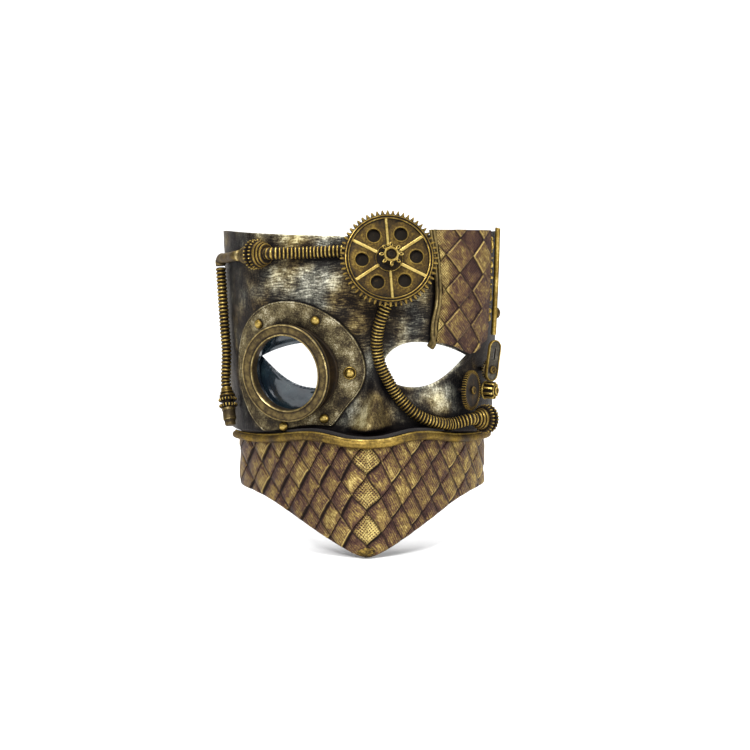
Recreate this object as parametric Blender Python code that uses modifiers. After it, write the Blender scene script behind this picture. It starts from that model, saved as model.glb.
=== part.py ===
"""A steampunk full-face masquerade mask: a moulded face shell with a woven chin panel and brow panel,
a round eyepiece on a riveted plate, corrugated hoses with toothed collars, and gears on their own spindles.

Frame: metres, +Z up. The mask faces -Y and the wearer's face is on the +Y side. The origin is the centre of
the nose-bridge pad's rear face, midway between the eyes. +X is the wearer's left.
"""

import math

import bmesh
import bpy
from mathutils import Matrix, Vector

GAP = 0.0003  # clearance left between separate pieces
MERGE = 0.000001  # distance under which two vertices are one

# Face shell: an upright half ellipse in plan, open at the rear
REAR_Y = 0.068
HALF_WIDTH = 0.0873
WIDTH_PER_HEIGHT = 0.04
SQUARENESS = 0.035
FRONT_Y = -0.006
FOREHEAD_BULGE = 0.010
FOREHEAD_Z = 0.050
FOREHEAD_REACH = 0.040
TOP_Z = 0.0805
TOP_CORNER_RISE = 0.0035
SHELL_THICK = 0.0024
SHELL_COLUMNS = 36
SHELL_ROWS = 17
SHELF_ROWS = 3
SHELF_RISE = 0.0034
SHELF_FILLET = 0.0018
REAR_TRIM = 0.0004
CENTRE_SPACING = 0.62

# Chin panel: a rounded prow in plan, leaning forward towards its tip
CHIN_HALF_WIDTH = 0.080
CHIN_REAR_Y = 0.058
CHIN_TOP_Y = -0.032
CHIN_LEAN = 0.21
CHIN_TIP_Z = -0.1145
CHIN_THICK = 0.0022
CHIN_SHARPNESS = 1.5
CHIN_FULLNESS = 0.72
CHIN_ROWS = 5
CHIN_RISE = -0.0012

# Lip moulding over the seam between face shell and chin panel
LIP_Z = -0.0490
LIP_WAVE = 0.0052
LIP_WAVE_X = 0.032
LIP_WAVE_REACH = 0.021
LIP_RADIUS = 0.0025

# Brow panel on the wearer's left, and the trims along its edges
BROW_LIFT = 0.0034
BROW_THICK = 0.0024
BROW_INNER = (  # x of the inner edge at each height
    (0.0100, 0.0425), (0.0220, 0.0449), (0.0345, 0.0466), (0.0470, 0.0465),
    (0.0656, 0.0452), (0.0840, 0.0428),
)
BROW_FOOT = (  # height of the lower edge at each x
    (0.0425, 0.0145), (0.0480, 0.0140), (0.0548, 0.0118), (0.0615, 0.0080),
    (0.0656, 0.0062), (0.0715, 0.0100), (0.0790, 0.0172), (0.0860, 0.0200),
)
BROW_OUTER_ANGLE = math.radians(62.5)
BROW_COLUMNS = 8
BROW_ROWS = 12
TRIM_RADIUS = 0.0017
TRIM_SINK = 0.0008  # how far the trims lie below the panel's surface

# Eyepiece
EYE_X = -0.0450
EYE_Z = -0.0038
EYE_YAW = math.radians(-30)
EYE_PITCH = math.radians(-5)
PLATE_RADIUS = 0.0445
PLATE_HOLE_RADIUS = 0.0262
PLATE_THICK = 0.0012
PLATE_LIFT = 0.0019
PLATE_FLOOR_RISE = 0.0064
BARREL_RADIUS = 0.0285
BARREL_BORE_RADIUS = 0.0236
BARREL_TOP = 0.0066
BARREL_LIFT = 0.0023
REBATE_RADIUS = 0.0264
REBATE_DEPTH = 0.0020
BEZEL_RADIUS = 0.0307
BEZEL_BORE_RADIUS = 0.0234
BEZEL_THICK = 0.0044
RIVET_CIRCLE_RADIUS = 0.0355
RIVET_ANGLES = (124, 66, -1, -56, -98)
RIVET_RADIUS = 0.0030
RIVET_SHANK_RADIUS = 0.0012
RIVET_LENGTH = 0.0058

# Main gear on the forehead, and the pinion in front of it
GEAR_CENTRE = (0.0140, -0.0272, 0.0668)
GEAR_YAW = math.radians(5)
GEAR_PITCH = math.radians(14)
GEAR_TEETH = 56
GEAR_TIP_RADIUS = 0.0304
GEAR_ROOT_RADIUS = 0.0277
GEAR_PLATE_THICK = 0.0022
GEAR_RIM_BORE = 0.0247
GEAR_RIM_HALF = 0.0021
GEAR_HOLE_RADIUS = 0.0042
GEAR_HOLE_CIRCLE = 0.0168
GEAR_SPOKES = 6
GEAR_SPOKE_TURN = math.radians(93)
GEAR_SPOKE_WIDTH = 0.0018
GEAR_SPOKE_LOW = -0.0006
GEAR_SPOKE_HIGH = 0.0018
GEAR_SPOKE_OVERLAP = 0.0005
GEAR_HUB_RADIUS = 0.0082
GEAR_BORE_RADIUS = 0.0018
SPINDLE_RADIUS = 0.0015
SPINDLE_BOSS_RADIUS = 0.0032
SPINDLE_FLANGE_RADIUS = 0.0055
SPINDLE_FLANGE_THICK = 0.0014
PINION_TEETH = 8
PINION_TIP_RADIUS = 0.0076
PINION_ROOT_RADIUS = 0.0050
PINION_FRONT = 0.0126
PINION_THICK = 0.0030
PINION_SLEEVE_RADIUS = 0.0042
PINION_RECESS_RADIUS = 0.0031
PINION_RECESS_DEPTH = 0.0016
SCREW_THREAD_RADIUS = 0.0012
SCREW_THREAD_LENGTH = 0.0010

# Hoses and their couplings
HOSE_RADIUS = 0.0037
HOSE_CLEAR = 0.0007
HOSE_LEAD = 0.0045  # straight run of a hose before its ferrule
SIDE_HOSE_RADIUS = 0.0033
ELBOW_STARTS = (0.0121, 0.0180)  # heights on the top coupling's axis
ELBOW_BEND = (  # (angle in degrees, height, distance out from the shell)
    (-57.0, 0.0671, 0.0074), (-64.0, 0.0665, 0.0054), (-69.0, 0.0664, 0.0044),
    (-72.1, 0.0664, 0.0042), (-73.8, 0.0657, 0.0042), (-75.0, 0.0642, 0.0042),
    (-75.5, 0.0623, 0.0042), (-75.5, 0.0612, 0.0042),
)
TOP_HOSE = ((-0.0040, 0.0708), (-0.0139, 0.0713), (-0.0219, 0.0710), (-0.0342, 0.0704))
TOP_COUPLING = (-0.0679, 0.0690)
TOP_COUPLING_AXIS = (-0.737, 0.672, -0.055)
FACE_HOSE = (
    (0.0155, 0.0480), (0.0137, 0.0405), (0.0110, 0.0340), (0.0088, 0.0275),
    (0.0074, 0.0205), (0.0069, 0.0130), (0.0081, 0.0045), (0.0108, -0.0027),
    (0.0145, -0.0097), (0.0191, -0.0173), (0.0244, -0.0238), (0.0309, -0.0298),
    (0.0386, -0.0341), (0.0475, -0.0368), (0.0545, -0.0375),
)
CHEEK_COUPLING = (0.0775, -0.0356)
CHEEK_COUPLING_AXIS = (0.740, 0.670, -0.060)
SIDE_COUPLING_TOP = (-70.0, -0.0130, 0.0062)
SIDE_COUPLING_FOOT = (-63.0, -0.0440, 0.0078)
SIDE_COUPLING_DROP = 0.0140  # from the end of the hose run to the collar
SIDE_RUN = ((-75.5, 0.0602), (-74.5, 0.04705), (-73.5, 0.0333), (-72.5, 0.01955), (-71.5, 0.0058))
SIDE_RUN_HEIGHT = 0.0042
FERRULE_MOUTH = -0.0095
FERRULE_NECK = -0.0070
FERRULE_INNER_END = -0.0062
COLLAR_HALF = 0.0032
COLLAR_GROOVE_HALF = 0.0010
COLLAR_TEETH = 24
SIDE_COLLAR_TEETH = 18
STUB_SHARE = 0.75  # the stub through a collar, against the hose's radius

# Cheek train: (angle round the face in degrees, height, distance out from the shell)
WHEEL_AT = (44.3, -0.0165, 0.0074)
WHEEL_YAW = math.radians(62)
WHEEL_TEETH = 40
WHEEL_RADIUS = 0.0126
WHEEL_TOOTH = 0.0010
WHEEL_HALF = 0.0012
CHEEK_PINION_AT = (59.0, -0.0180, 0.0030)
CHEEK_PINION_TEETH = 9
CHEEK_PINION_RADIUS = 0.0056
CHEEK_PINION_TOOTH = 0.0014
CHEEK_PINION_LENGTH = 0.0064
CHEEK_FLANGE_RADIUS = 0.0058
CHEEK_FLANGE_THICK = 0.0012
LEVER_AT = (57.5, -0.0045, 0.0062)
LEVER_YAW = math.radians(38)
LEVER_LEAN = math.radians(-10)
LEVER_LENGTH = 0.0142
LEVER_TAIL = 0.0023
LEVER_HALF_WIDTH = 0.0046
LEVER_THICK = 0.0014
SLOT_LOW = 0.0052
SLOT_HALF_WIDTH = 0.0013
SIDE_GEAR_TEETH = 18
SIDE_GEAR_RADIUS = 0.0072
SIDE_GEAR_TOOTH = 0.0010
SIDE_GEAR_HALF = 0.0006
PIN_RADIUS = 0.0015
PIN_HEAD_RADIUS = 0.0026
PIN_HEAD_THICK = 0.0012
PIN_HOLE_RADIUS = 0.0021
WHEEL_BORE_RADIUS = 0.0018

# Nose pad and strap
PAD_WIDTH = 0.0150
PAD_HEIGHT = 0.0120
STRAP_Z = 0.0300
STRAP_PIVOT_Y = 0.0605
STRAP_X = 0.0830
STRAP_WIDTH = 0.0150
STRAP_THICK = 0.0014
STRAP_RIVET_RADIUS = 0.0017
STRAP_RIVET_HEAD_RADIUS = 0.0036
STRAP_RIVET_HEAD_HIGH = 0.0023
STRAP_RIVET_FLANGE_RADIUS = 0.0034
STRAP_RIVET_FLANGE_THICK = 0.0014
EYELET_RADIUS = 0.0033

GOLD = (0.42, 0.30, 0.11)
BRONZE = (0.20, 0.16, 0.09)
LEATHER = (0.26, 0.17, 0.12)


# ---------------------------------------------------------------- scene and materials

def clear_scene():
    for found in list(bpy.data.objects):
        bpy.data.objects.remove(found)


def material(name, colour, roughness, metallic):
    made = bpy.data.materials.new(name)
    made.use_nodes = True
    shader = made.node_tree.nodes["Principled BSDF"]
    shader.inputs["Base Color"].default_value = (*colour, 1.0)
    shader.inputs["Roughness"].default_value = roughness
    shader.inputs["Metallic"].default_value = metallic
    return made


def collection(name):
    made = bpy.data.collections.new(name)
    bpy.context.scene.collection.children.link(made)
    return made


clear_scene()
PARTS = collection("steampunk_mask")
CUTTERS = collection("cutters")
MATERIALS = {
    "antique_bronze": material("antique_bronze", BRONZE, 0.45, 0.7),
    "antique_gold": material("antique_gold", GOLD, 0.38, 0.9),
    "woven_leather": material("woven_leather", LEATHER, 0.5, 0.2),
    "black_foam": material("black_foam", (0.02, 0.02, 0.022), 0.9, 0.0),
    "black_elastic": material("black_elastic", (0.015, 0.015, 0.017), 0.85, 0.0),
}


def mesh_object(name, mesh, finish, where=None):
    made = bpy.data.objects.new(name, mesh)
    if where is not None:
        made.matrix_world = where
    PARTS.objects.link(made)
    made.data.materials.append(MATERIALS[finish])
    return made


def from_bmesh(name, shape, finish, where=None, smooth_deg=35):
    mesh = bpy.data.meshes.new(name)
    bmesh.ops.recalc_face_normals(shape, faces=shape.faces[:])
    shape.to_mesh(mesh)
    shape.free()
    mesh.shade_smooth()
    mesh.set_sharp_from_angle(angle=math.radians(smooth_deg))
    return mesh_object(name, mesh, finish, where)


def as_cutter(made):
    PARTS.objects.unlink(made)
    CUTTERS.objects.link(made)
    made.hide_render = True
    made.display_type = "WIRE"
    return made


def boolean(made, other, operation):
    modifier = made.modifiers.new(operation.lower(), "BOOLEAN")
    modifier.object = other
    modifier.operation = operation
    modifier.solver = "EXACT"


def cut(made, *cutters):
    for cutter in cutters:
        boolean(made, cutter, "DIFFERENCE")


def join(made, *others):
    for other in others:
        boolean(made, as_cutter(other), "UNION")


# ---------------------------------------------------------------- the face surface

def smoothstep(low, high, value):
    t = min(1.0, max(0.0, (value - low) / (high - low)))
    return t * t * (3 - 2 * t)


def bump(value, centre, reach):
    return math.exp(-(((value - centre) / reach) ** 2))


def relief(x, z):
    """How far the face stands forward of the plain shell: brow, eye socket, cheek and nose."""
    side = abs(x)
    seat = smoothstep(0.0465, 0.0580, math.hypot(x - EYE_X, z - EYE_Z))
    soft = (
        0.0045 * bump(side, 0.036, 0.024) * bump(z, 0.028, 0.010)
        - 0.0040 * bump(side, 0.038, 0.026) * bump(z, 0.000, 0.014)
        + 0.0035 * bump(side, 0.044, 0.018) * bump(z, -0.028, 0.010)
    )
    down = smoothstep(0.026, -0.040, z)
    nose = (0.003 + 0.016 * down) * smoothstep(-0.047, -0.039, z) * smoothstep(0.034, 0.006, z)
    nose *= bump(x, 0, 0.0065 + 0.0040 * down)
    wings = 0.0040 * bump(side, 0.0100, 0.0045) * bump(z, -0.0370, 0.0045)
    return (soft + nose + wings) * seat


def half_width(z):
    return HALF_WIDTH + WIDTH_PER_HEIGHT * z


def plain_depth(z):
    return REAR_Y - FRONT_Y + FOREHEAD_BULGE * bump(z, FOREHEAD_Z, FOREHEAD_REACH)


def face_point(angle, z, plain=False):
    """The face shell's outer surface. angle is 0 at the nose and 90 degrees at the wearer's left edge."""
    fullness = 1 + SQUARENESS * math.sin(2 * angle) ** 2
    x = half_width(z) * math.sin(angle) * fullness
    y = REAR_Y - plain_depth(z) * math.cos(angle) * fullness
    if not plain:
        y -= relief(x, z) * smoothstep(0, 0.3, math.cos(angle))
    return Vector((x, y, z))


def face_normal(angle, z, plain=True):
    step = 0.0005
    across = face_point(angle + step, z, plain) - face_point(angle - step, z, plain)
    upward = face_point(angle, z + step, plain) - face_point(angle, z - step, plain)
    return across.cross(upward).normalized()


def on_face(angle_deg, z, height):
    """A point this far out from the plain shell."""
    angle = math.radians(angle_deg)
    return face_point(angle, z, plain=True) + face_normal(angle, z) * height


def clearance(point, plain=False):
    """How far a point stands out from the shell's outer surface."""
    angle = math.atan2(point.x / half_width(point.z), (REAR_Y - point.y) / plain_depth(point.z))
    return (point - face_point(angle, point.z, plain)).dot(face_normal(angle, point.z, plain))


def slide(start, direction, wanted, plain=False, reach=0.120):
    """Moves a point along a direction, from outside, until it is this far out from the shell."""
    low, high = 0.0, reach
    for _ in range(30):
        middle = (low + high) / 2
        if clearance(start + direction * middle, plain) > wanted:
            low = middle
        else:
            high = middle
    return start + direction * low


def over_face(x, z, wanted, plain=False):
    """The point in front of (x, z) that is this far out from the shell."""
    return slide(Vector((x, -0.080, z)), Vector((0, 1, 0)), wanted, plain)


def rest_ball(x, z, radius):
    """Where a ball of this radius comes to rest against the face, moving straight back at (x, z)."""
    count = 12
    nearest = over_face(x, z, radius).y
    for ring in (0.4, 0.8):
        for step in range(count):
            turn = math.tau * step / count
            dx, dz = ring * radius * math.cos(turn), ring * radius * math.sin(turn)
            if abs(x + dx) < half_width(z) - 0.001:
                surface = over_face(x + dx, z + dz, 0.0).y
                nearest = min(nearest, surface - radius * math.sqrt(1 - ring * ring))
    return Vector((x, nearest, z))


def lip_z(x):
    return LIP_Z + LIP_WAVE * bump(abs(x), LIP_WAVE_X, LIP_WAVE_REACH) + 0.001 * bump(x, 0, 0.008)


def column_angle(u):
    """Columns of the sheets: close together at the nose and wider apart at the sides."""
    share = 2 * u - 1
    return (CENTRE_SPACING * share + (1 - CENTRE_SPACING) * share**3) * math.pi / 2


def top_z(x):
    return TOP_Z + TOP_CORNER_RISE * (x / HALF_WIDTH) ** 2


# ---------------------------------------------------------------- the chin surface

def chin_point(angle, z):
    """The chin panel's outer surface: a prow whose ridge leans forward towards the tip."""
    across = math.sin(angle)
    depth = CHIN_REAR_Y - CHIN_TOP_Y + CHIN_LEAN * max(0.0, LIP_Z - z)
    share = max(0.0, 1 - abs(across) ** CHIN_SHARPNESS) ** CHIN_FULLNESS
    return Vector((CHIN_HALF_WIDTH * across, CHIN_REAR_Y - depth * share, z))


def chin_normal(angle, z):
    step = 0.01
    across = chin_point(angle + step, z) - chin_point(angle - step, z)
    upward = chin_point(angle, z + 0.0005) - chin_point(angle, z - 0.0005)
    return across.cross(upward).normalized()


def chin_edge_z(x):
    """The chin panel's lower edge: a rounded point that flattens towards the sides."""
    rounding = 0.008
    rise = 0.56 * (math.hypot(x, rounding) - rounding)
    flatten = 0.0078 * max(0.0, (abs(x) - 0.050) / 0.030) ** 2
    return CHIN_TIP_Z + rise - flatten


# ---------------------------------------------------------------- shape helpers

def sheet(name, columns, rows, place, thick, finish, where=None):
    """A grid bent by place(u, v), with u and v from 0 to 1, and thickened inwards."""
    shape = bmesh.new()
    bmesh.ops.create_grid(shape, x_segments=columns, y_segments=rows, size=1)
    for vertex in shape.verts:
        vertex.co = place((vertex.co.x + 1) / 2, (vertex.co.y + 1) / 2)
    mesh = bpy.data.meshes.new(name)
    shape.to_mesh(mesh)
    shape.free()
    mesh.shade_smooth()
    made = mesh_object(name, mesh, finish, where)
    modifier = made.modifiers.new("thickness", "SOLIDIFY")
    modifier.thickness = thick
    modifier.offset = -1
    return made


def axis_frame(origin, axis, up=Vector((0, 0, 1))):
    """A placement whose local +Z lies along axis and whose local +Y is as near to up as it can be."""
    z = axis.normalized()
    x = up.cross(z).normalized()
    y = z.cross(x)
    return Matrix.Translation(origin) @ Matrix((x, y, z)).transposed().to_4x4()


def turned(name, profile, where, finish, steps=24):
    """A solid of revolution about local Z, from (radius, height) pairs that close or end on the axis."""
    shape = bmesh.new()
    ring = [shape.verts.new((radius, 0, height)) for radius, height in reversed(profile)]
    for first, second in zip(ring, ring[1:] + ring[:1]):
        if first.co.x > 0 or second.co.x > 0:
            shape.edges.new((first, second))
    mesh = bpy.data.meshes.new(name)
    shape.to_mesh(mesh)
    shape.free()
    made = mesh_object(name, mesh, finish, where)
    modifier = made.modifiers.new("turning", "SCREW")
    modifier.angle = math.tau
    modifier.steps = steps
    modifier.render_steps = steps
    modifier.use_merge_vertices = True
    modifier.merge_threshold = MERGE
    modifier.use_smooth_shade = True
    return made


def rod(name, radius, low, high, where, finish, sides=16):
    """A plain round bar about local Z, from low to high."""
    shape = bmesh.new()
    bmesh.ops.create_cone(
        shape, cap_ends=True, segments=sides, radius1=radius, radius2=radius, depth=high - low
    )
    bmesh.ops.translate(shape, verts=shape.verts[:], vec=(0, 0, (low + high) / 2))
    return from_bmesh(name, shape, finish, where)


def block(name, size, centre, where, finish):
    shape = bmesh.new()
    bmesh.ops.create_cube(shape, size=1)
    bmesh.ops.scale(shape, verts=shape.verts[:], vec=size)
    bmesh.ops.translate(shape, verts=shape.verts[:], vec=centre)
    return from_bmesh(name, shape, finish, where)


def smooth_path(points, per_span=5):
    """A smooth line through the points, whose slopes are scaled to each span so that it never overshoots."""
    padded = [2 * points[0] - points[1], *points, 2 * points[-1] - points[-2]]
    path = []
    for a, b, c, d in zip(padded, padded[1:], padded[2:], padded[3:]):
        span = (c - b).length
        leaving, arriving = (c - a).normalized() * span, (d - b).normalized() * span
        for step in range(per_span):
            t = step / per_span
            share = t * t * (3 - 2 * t)
            path.append(b.lerp(c, share) + leaving * t * (1 - t) ** 2 - arriving * t * t * (1 - t))
    return [*path, points[-1]]


def tube(name, path, radius, finish, taper=None):
    """A round bar along a path, as a bevelled curve turned into a mesh with its caps joined."""
    line = bpy.data.curves.new(name, "CURVE")
    line.dimensions = "3D"
    line.bevel_depth = radius
    line.bevel_resolution = 2
    line.use_fill_caps = True
    spline = line.splines.new("POLY")
    spline.points.add(len(path) - 1)
    for index, point in enumerate(path):
        spline.points[index].co = (*point, 1)
        spline.points[index].radius = taper(index / (len(path) - 1)) if taper else 1.0
    helper = bpy.data.objects.new(name + "_line", line)
    PARTS.objects.link(helper)
    bpy.context.view_layer.update()
    graph = bpy.context.evaluated_depsgraph_get()
    mesh = bpy.data.meshes.new_from_object(helper.evaluated_get(graph))
    bpy.data.objects.remove(helper)
    shape = bmesh.new()
    shape.from_mesh(mesh)
    bmesh.ops.remove_doubles(shape, verts=shape.verts[:], dist=MERGE)
    bpy.data.meshes.remove(mesh)
    return from_bmesh(name, shape, finish)


def flat_plate(name, outline, holes, thick, where, finish, base=0.0):
    """A flat outline with holes, filled and given thickness from base upwards along local Z."""
    line = bpy.data.curves.new(name, "CURVE")
    line.dimensions = "2D"
    line.fill_mode = "BOTH"
    line.extrude = thick / 2
    for loop in (outline, *holes):
        spline = line.splines.new("POLY")
        spline.points.add(len(loop) - 1)
        for index, (x, y) in enumerate(loop):
            spline.points[index].co = (x, y, 0, 1)
        spline.use_cyclic_u = True
    helper = bpy.data.objects.new(name + "_outline", line)
    PARTS.objects.link(helper)
    bpy.context.view_layer.update()
    graph = bpy.context.evaluated_depsgraph_get()
    mesh = bpy.data.meshes.new_from_object(helper.evaluated_get(graph))
    bpy.data.objects.remove(helper)
    shape = bmesh.new()
    shape.from_mesh(mesh)
    bmesh.ops.remove_doubles(shape, verts=shape.verts[:], dist=MERGE)
    bmesh.ops.translate(shape, verts=shape.verts[:], vec=(0, 0, base + thick / 2))
    bpy.data.meshes.remove(mesh)
    return from_bmesh(name, shape, finish, where)


def circle_points(radius, sides, centre=(0, 0)):
    turn = math.tau / sides
    return [
        (centre[0] + radius * math.cos(turn * i), centre[1] + radius * math.sin(turn * i))
        for i in range(sides)
    ]


def stadium(half, low, high, steps=8):
    """A bar with round ends, whose end centres are at low and high along local Y."""
    points = []
    for centre, start in ((high, 0), (low, math.pi)):
        for step in range(steps + 1):
            turn = start + math.pi * step / steps
            points.append((half * math.cos(turn), centre + half * math.sin(turn)))
    return points


BLUNT = ((-0.30, 0), (-0.12, 1), (0.12, 1), (0.30, 0))
POINTED = ((-0.50, 0), (0.0, 1))


def tooth_outline(teeth, root, tip, tooth_shape=POINTED):
    """A gear outline: a tooth is a row of (share of a pitch, 0 at the root or 1 at the tip)."""
    points = []
    pitch = math.tau / teeth
    for tooth in range(teeth):
        for share, high in tooth_shape:
            turn = pitch * (tooth + share)
            radius = tip if high else root
            points.append((radius * math.cos(turn), radius * math.sin(turn)))
    return points


def lofted(name, loops, finish, where=None):
    """Walls between loops of points, each loop joined to the next and the last joined to the first."""
    shape = bmesh.new()
    rings = [[shape.verts.new(point) for point in loop] for loop in loops]
    for low, high in zip(rings, rings[1:] + rings[:1]):
        for i in range(len(low)):
            j = (i + 1) % len(low)
            shape.faces.new((low[i], low[j], high[j], high[i]))
    return from_bmesh(name, shape, finish, where)


def toothed(name, teeth, levels, bore, where, finish, tooth_shape=POINTED):
    """A toothed ring about local Z: levels are (height, root radius, tip radius), from low to high."""
    loops = []
    for height, root, tip in levels:
        loops.append([(x, y, height) for x, y in tooth_outline(teeth, root, tip, tooth_shape)])
    for height in (levels[-1][0], levels[0][0]):
        loops.append([(x, y, height) for x, y in tooth_outline(teeth, bore, bore, tooth_shape)])
    return lofted(name, loops, finish, where)


# ---------------------------------------------------------------- shell, chin and trims

def eye_outline(side):
    """The almond eye opening as four Bezier spans: outer corner, top, inner corner, bottom."""
    spans = (
        ((0.0645, 0.0050), (0.0550, 0.0108), (0.0430, 0.0145), (0.0310, 0.0145)),
        ((0.0310, 0.0145), (0.0200, 0.0145), (0.0112, 0.0070), (0.0112, -0.0015)),
        ((0.0112, -0.0015), (0.0112, -0.0080), (0.0190, -0.0142), (0.0310, -0.0142)),
        ((0.0310, -0.0142), (0.0460, -0.0142), (0.0550, -0.0045), (0.0645, 0.0050)),
    )
    steps = 6
    points = []
    for a, b, c, d in spans:
        for step in range(steps):
            t = step / steps
            weights = ((1 - t) ** 3, 3 * t * (1 - t) ** 2, 3 * t * t * (1 - t), t**3)
            points.append(tuple(sum(w * p[k] for w, p in zip(weights, (a, b, c, d))) for k in (0, 1)))
    return [(side * x, z) for x, z in points]


def eye_cutter(side):
    """A prism through the shell along Y, in the shape of the eye opening."""
    name = "eye_cutter_left" if side > 0 else "eye_cutter_right"
    facing = Matrix.Translation((0, 0.050, 0)) @ Matrix.Rotation(math.pi / 2, 4, "X")
    return as_cutter(flat_plate(name, eye_outline(side), (), 0.120, facing, "antique_bronze"))


def hole_cutter(name, radius, where, reach=0.008, sides=12):
    return as_cutter(rod(name, radius, -reach, reach, where, "antique_bronze", sides))


def shell_place(u, v):
    """The face shell from its shelf, which runs forward to the chin panel, up to its top edge."""
    angle = column_angle(u)
    shelf_share = SHELF_ROWS / SHELL_ROWS
    x = face_point(angle, LIP_Z).x
    wall_foot = lip_z(x) + SHELF_RISE + SHELF_FILLET
    if v >= shelf_share:
        share = (v - shelf_share) / (1 - shelf_share)
        return face_point(angle, wall_foot + (top_z(x) - wall_foot) * share)
    wall = face_point(angle, wall_foot)
    front = chin_point(angle, LIP_Z)
    front.z = lip_z(front.x) + SHELF_RISE
    share = 1 - v / shelf_share
    bent = wall.lerp(front, share)
    bent.z = front.z + (wall_foot - front.z) * (1 - share) ** 3
    return bent


def rear_trimmer():
    """A block behind the shell, which leaves both rear rims in one flat plane."""
    size = (0.240, 0.020, 0.300)
    centre = (0, REAR_Y - REAR_TRIM + size[1] / 2, 0)
    return as_cutter(block("rear_trimmer", size, centre, Matrix(), "antique_bronze"))


def chin_place(u, v):
    angle = column_angle(u)
    x = chin_point(angle, LIP_Z).x
    low, high = chin_edge_z(x), lip_z(x) + CHIN_RISE
    return chin_point(angle, low + (high - low) * v)


def lip_trim():
    path = []
    for index in range(SHELL_COLUMNS + 1):
        angle = column_angle(index / SHELL_COLUMNS)
        if abs(angle) > math.radians(86):
            continue
        point = chin_point(angle, LIP_Z)
        point.z = lip_z(point.x) + GAP
        path.append(point + chin_normal(angle, LIP_Z) * (LIP_RADIUS + 2 * GAP))
    return tube("lip_trim", path, LIP_RADIUS, "antique_gold")


def between(table, value):
    """Straight-line reading of a table of pairs."""
    for (x0, y0), (x1, y1) in zip(table, table[1:]):
        if value <= x1:
            break
    share = min(1.0, max(0.0, (value - x0) / (x1 - x0)))
    return y0 + (y1 - y0) * share


def brow_place(u, v):
    """The brow panel from its inner edge to the side of the face, over the shell's own relief."""
    z = BROW_FOOT[0][1]
    top = TOP_Z + TOP_CORNER_RISE
    for _ in range(4):
        inner = over_face(between(BROW_INNER, z), z, 0.0)
        start = math.atan2(inner.x / half_width(z), (REAR_Y - inner.y) / plain_depth(z))
        angle = start + (BROW_OUTER_ANGLE - start) * u
        foot = between(BROW_FOOT, face_point(angle, z).x)
        z = foot + (top - foot) * v
    return face_point(angle, z) + face_normal(angle, z) * BROW_LIFT


def brow_edge(u, outwards, first, last, count):
    """A path beside one edge of the brow panel, from low to high."""
    path = []
    for step in range(count + 1):
        v = first + (last - first) * step / count
        point = brow_place(u, v)
        angle = math.atan2(point.x / half_width(point.z), (REAR_Y - point.y) / plain_depth(point.z))
        out = face_normal(angle, point.z)
        across = Vector((0, 0, 1)).cross(out).normalized() * outwards
        path.append(point - out * TRIM_SINK + across * (TRIM_RADIUS + GAP))
    return path


# ---------------------------------------------------------------- eyepiece

def facing_axis(yaw, pitch):
    """A direction out of the face: straight ahead, turned by yaw towards +X and raised by pitch."""
    return Vector((math.sin(yaw) * math.cos(pitch), -math.cos(yaw) * math.cos(pitch), math.sin(pitch)))


EYE_AXIS = facing_axis(EYE_YAW, EYE_PITCH)
EYE_CENTRE = over_face(EYE_X, EYE_Z, 0.0, plain=True)
EYE_FRAME = axis_frame(EYE_CENTRE, EYE_AXIS)


def seat_height(radius, turn, lift):
    """Height above the eyepiece's datum at which this point of a ring meets the face."""
    start = EYE_FRAME @ Vector((radius * math.cos(turn), radius * math.sin(turn), 0.040))
    landed = slide(start, -EYE_AXIS, lift, plain=True)
    return (EYE_FRAME.inverted() @ landed).z


def plate_loops():
    """The eye plate follows the shell, and stops above the shelf."""
    steps = 40
    middle = (PLATE_RADIUS + PLATE_HOLE_RADIUS) / 2
    outwards = ((PLATE_LIFT, PLATE_HOLE_RADIUS), (PLATE_LIFT, middle), (PLATE_LIFT, PLATE_RADIUS))
    rear = PLATE_LIFT - PLATE_THICK
    inwards = ((rear, PLATE_RADIUS), (rear, middle), (rear, PLATE_HOLE_RADIUS))
    loops = []
    for lift, radius in outwards + inwards:
        loop = []
        for step in range(steps):
            turn = math.tau * step / steps
            x, y = radius * math.cos(turn), radius * math.sin(turn)
            floor = lip_z(EYE_X + x) + PLATE_FLOOR_RISE + (PLATE_RADIUS - radius) * 0.3 - EYE_Z
            start = EYE_FRAME @ Vector((x, max(y, floor), 0.040))
            loop.append(slide(start, -EYE_AXIS, lift, plain=True))
        loops.append(loop)
    return loops


def barrel_loops():
    """The eyepiece barrel: its foot follows the plate, and its mouth is rebated for the bezel."""
    steps = 32
    sections = (
        (BARREL_BORE_RADIUS, None), (BARREL_RADIUS, None), (BARREL_RADIUS, BARREL_TOP),
        (REBATE_RADIUS, BARREL_TOP), (REBATE_RADIUS, BARREL_TOP - REBATE_DEPTH),
        (BARREL_BORE_RADIUS, BARREL_TOP - REBATE_DEPTH),
    )
    loops = []
    for radius, height in sections:
        loop = []
        for step in range(steps):
            turn = math.tau * step / steps
            level = seat_height(radius, turn, BARREL_LIFT) if height is None else height
            loop.append((radius * math.cos(turn), radius * math.sin(turn), level))
        loops.append(loop)
    return loops


def bezel_profile():
    foot = BARREL_TOP + GAP
    top = foot + BEZEL_THICK
    spigot = REBATE_RADIUS - GAP
    spigot_foot = BARREL_TOP - REBATE_DEPTH + GAP
    return (
        (BEZEL_BORE_RADIUS, spigot_foot), (spigot, spigot_foot), (spigot, foot),
        (BEZEL_RADIUS, foot), (BEZEL_RADIUS, top - 0.0010), (BEZEL_RADIUS - 0.0010, top),
        (BEZEL_RADIUS - 0.0022, top - 0.0012), (BEZEL_BORE_RADIUS + 0.0022, top - 0.0012),
        (BEZEL_BORE_RADIUS + 0.0010, top), (BEZEL_BORE_RADIUS, top - 0.0010),
    )


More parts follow.
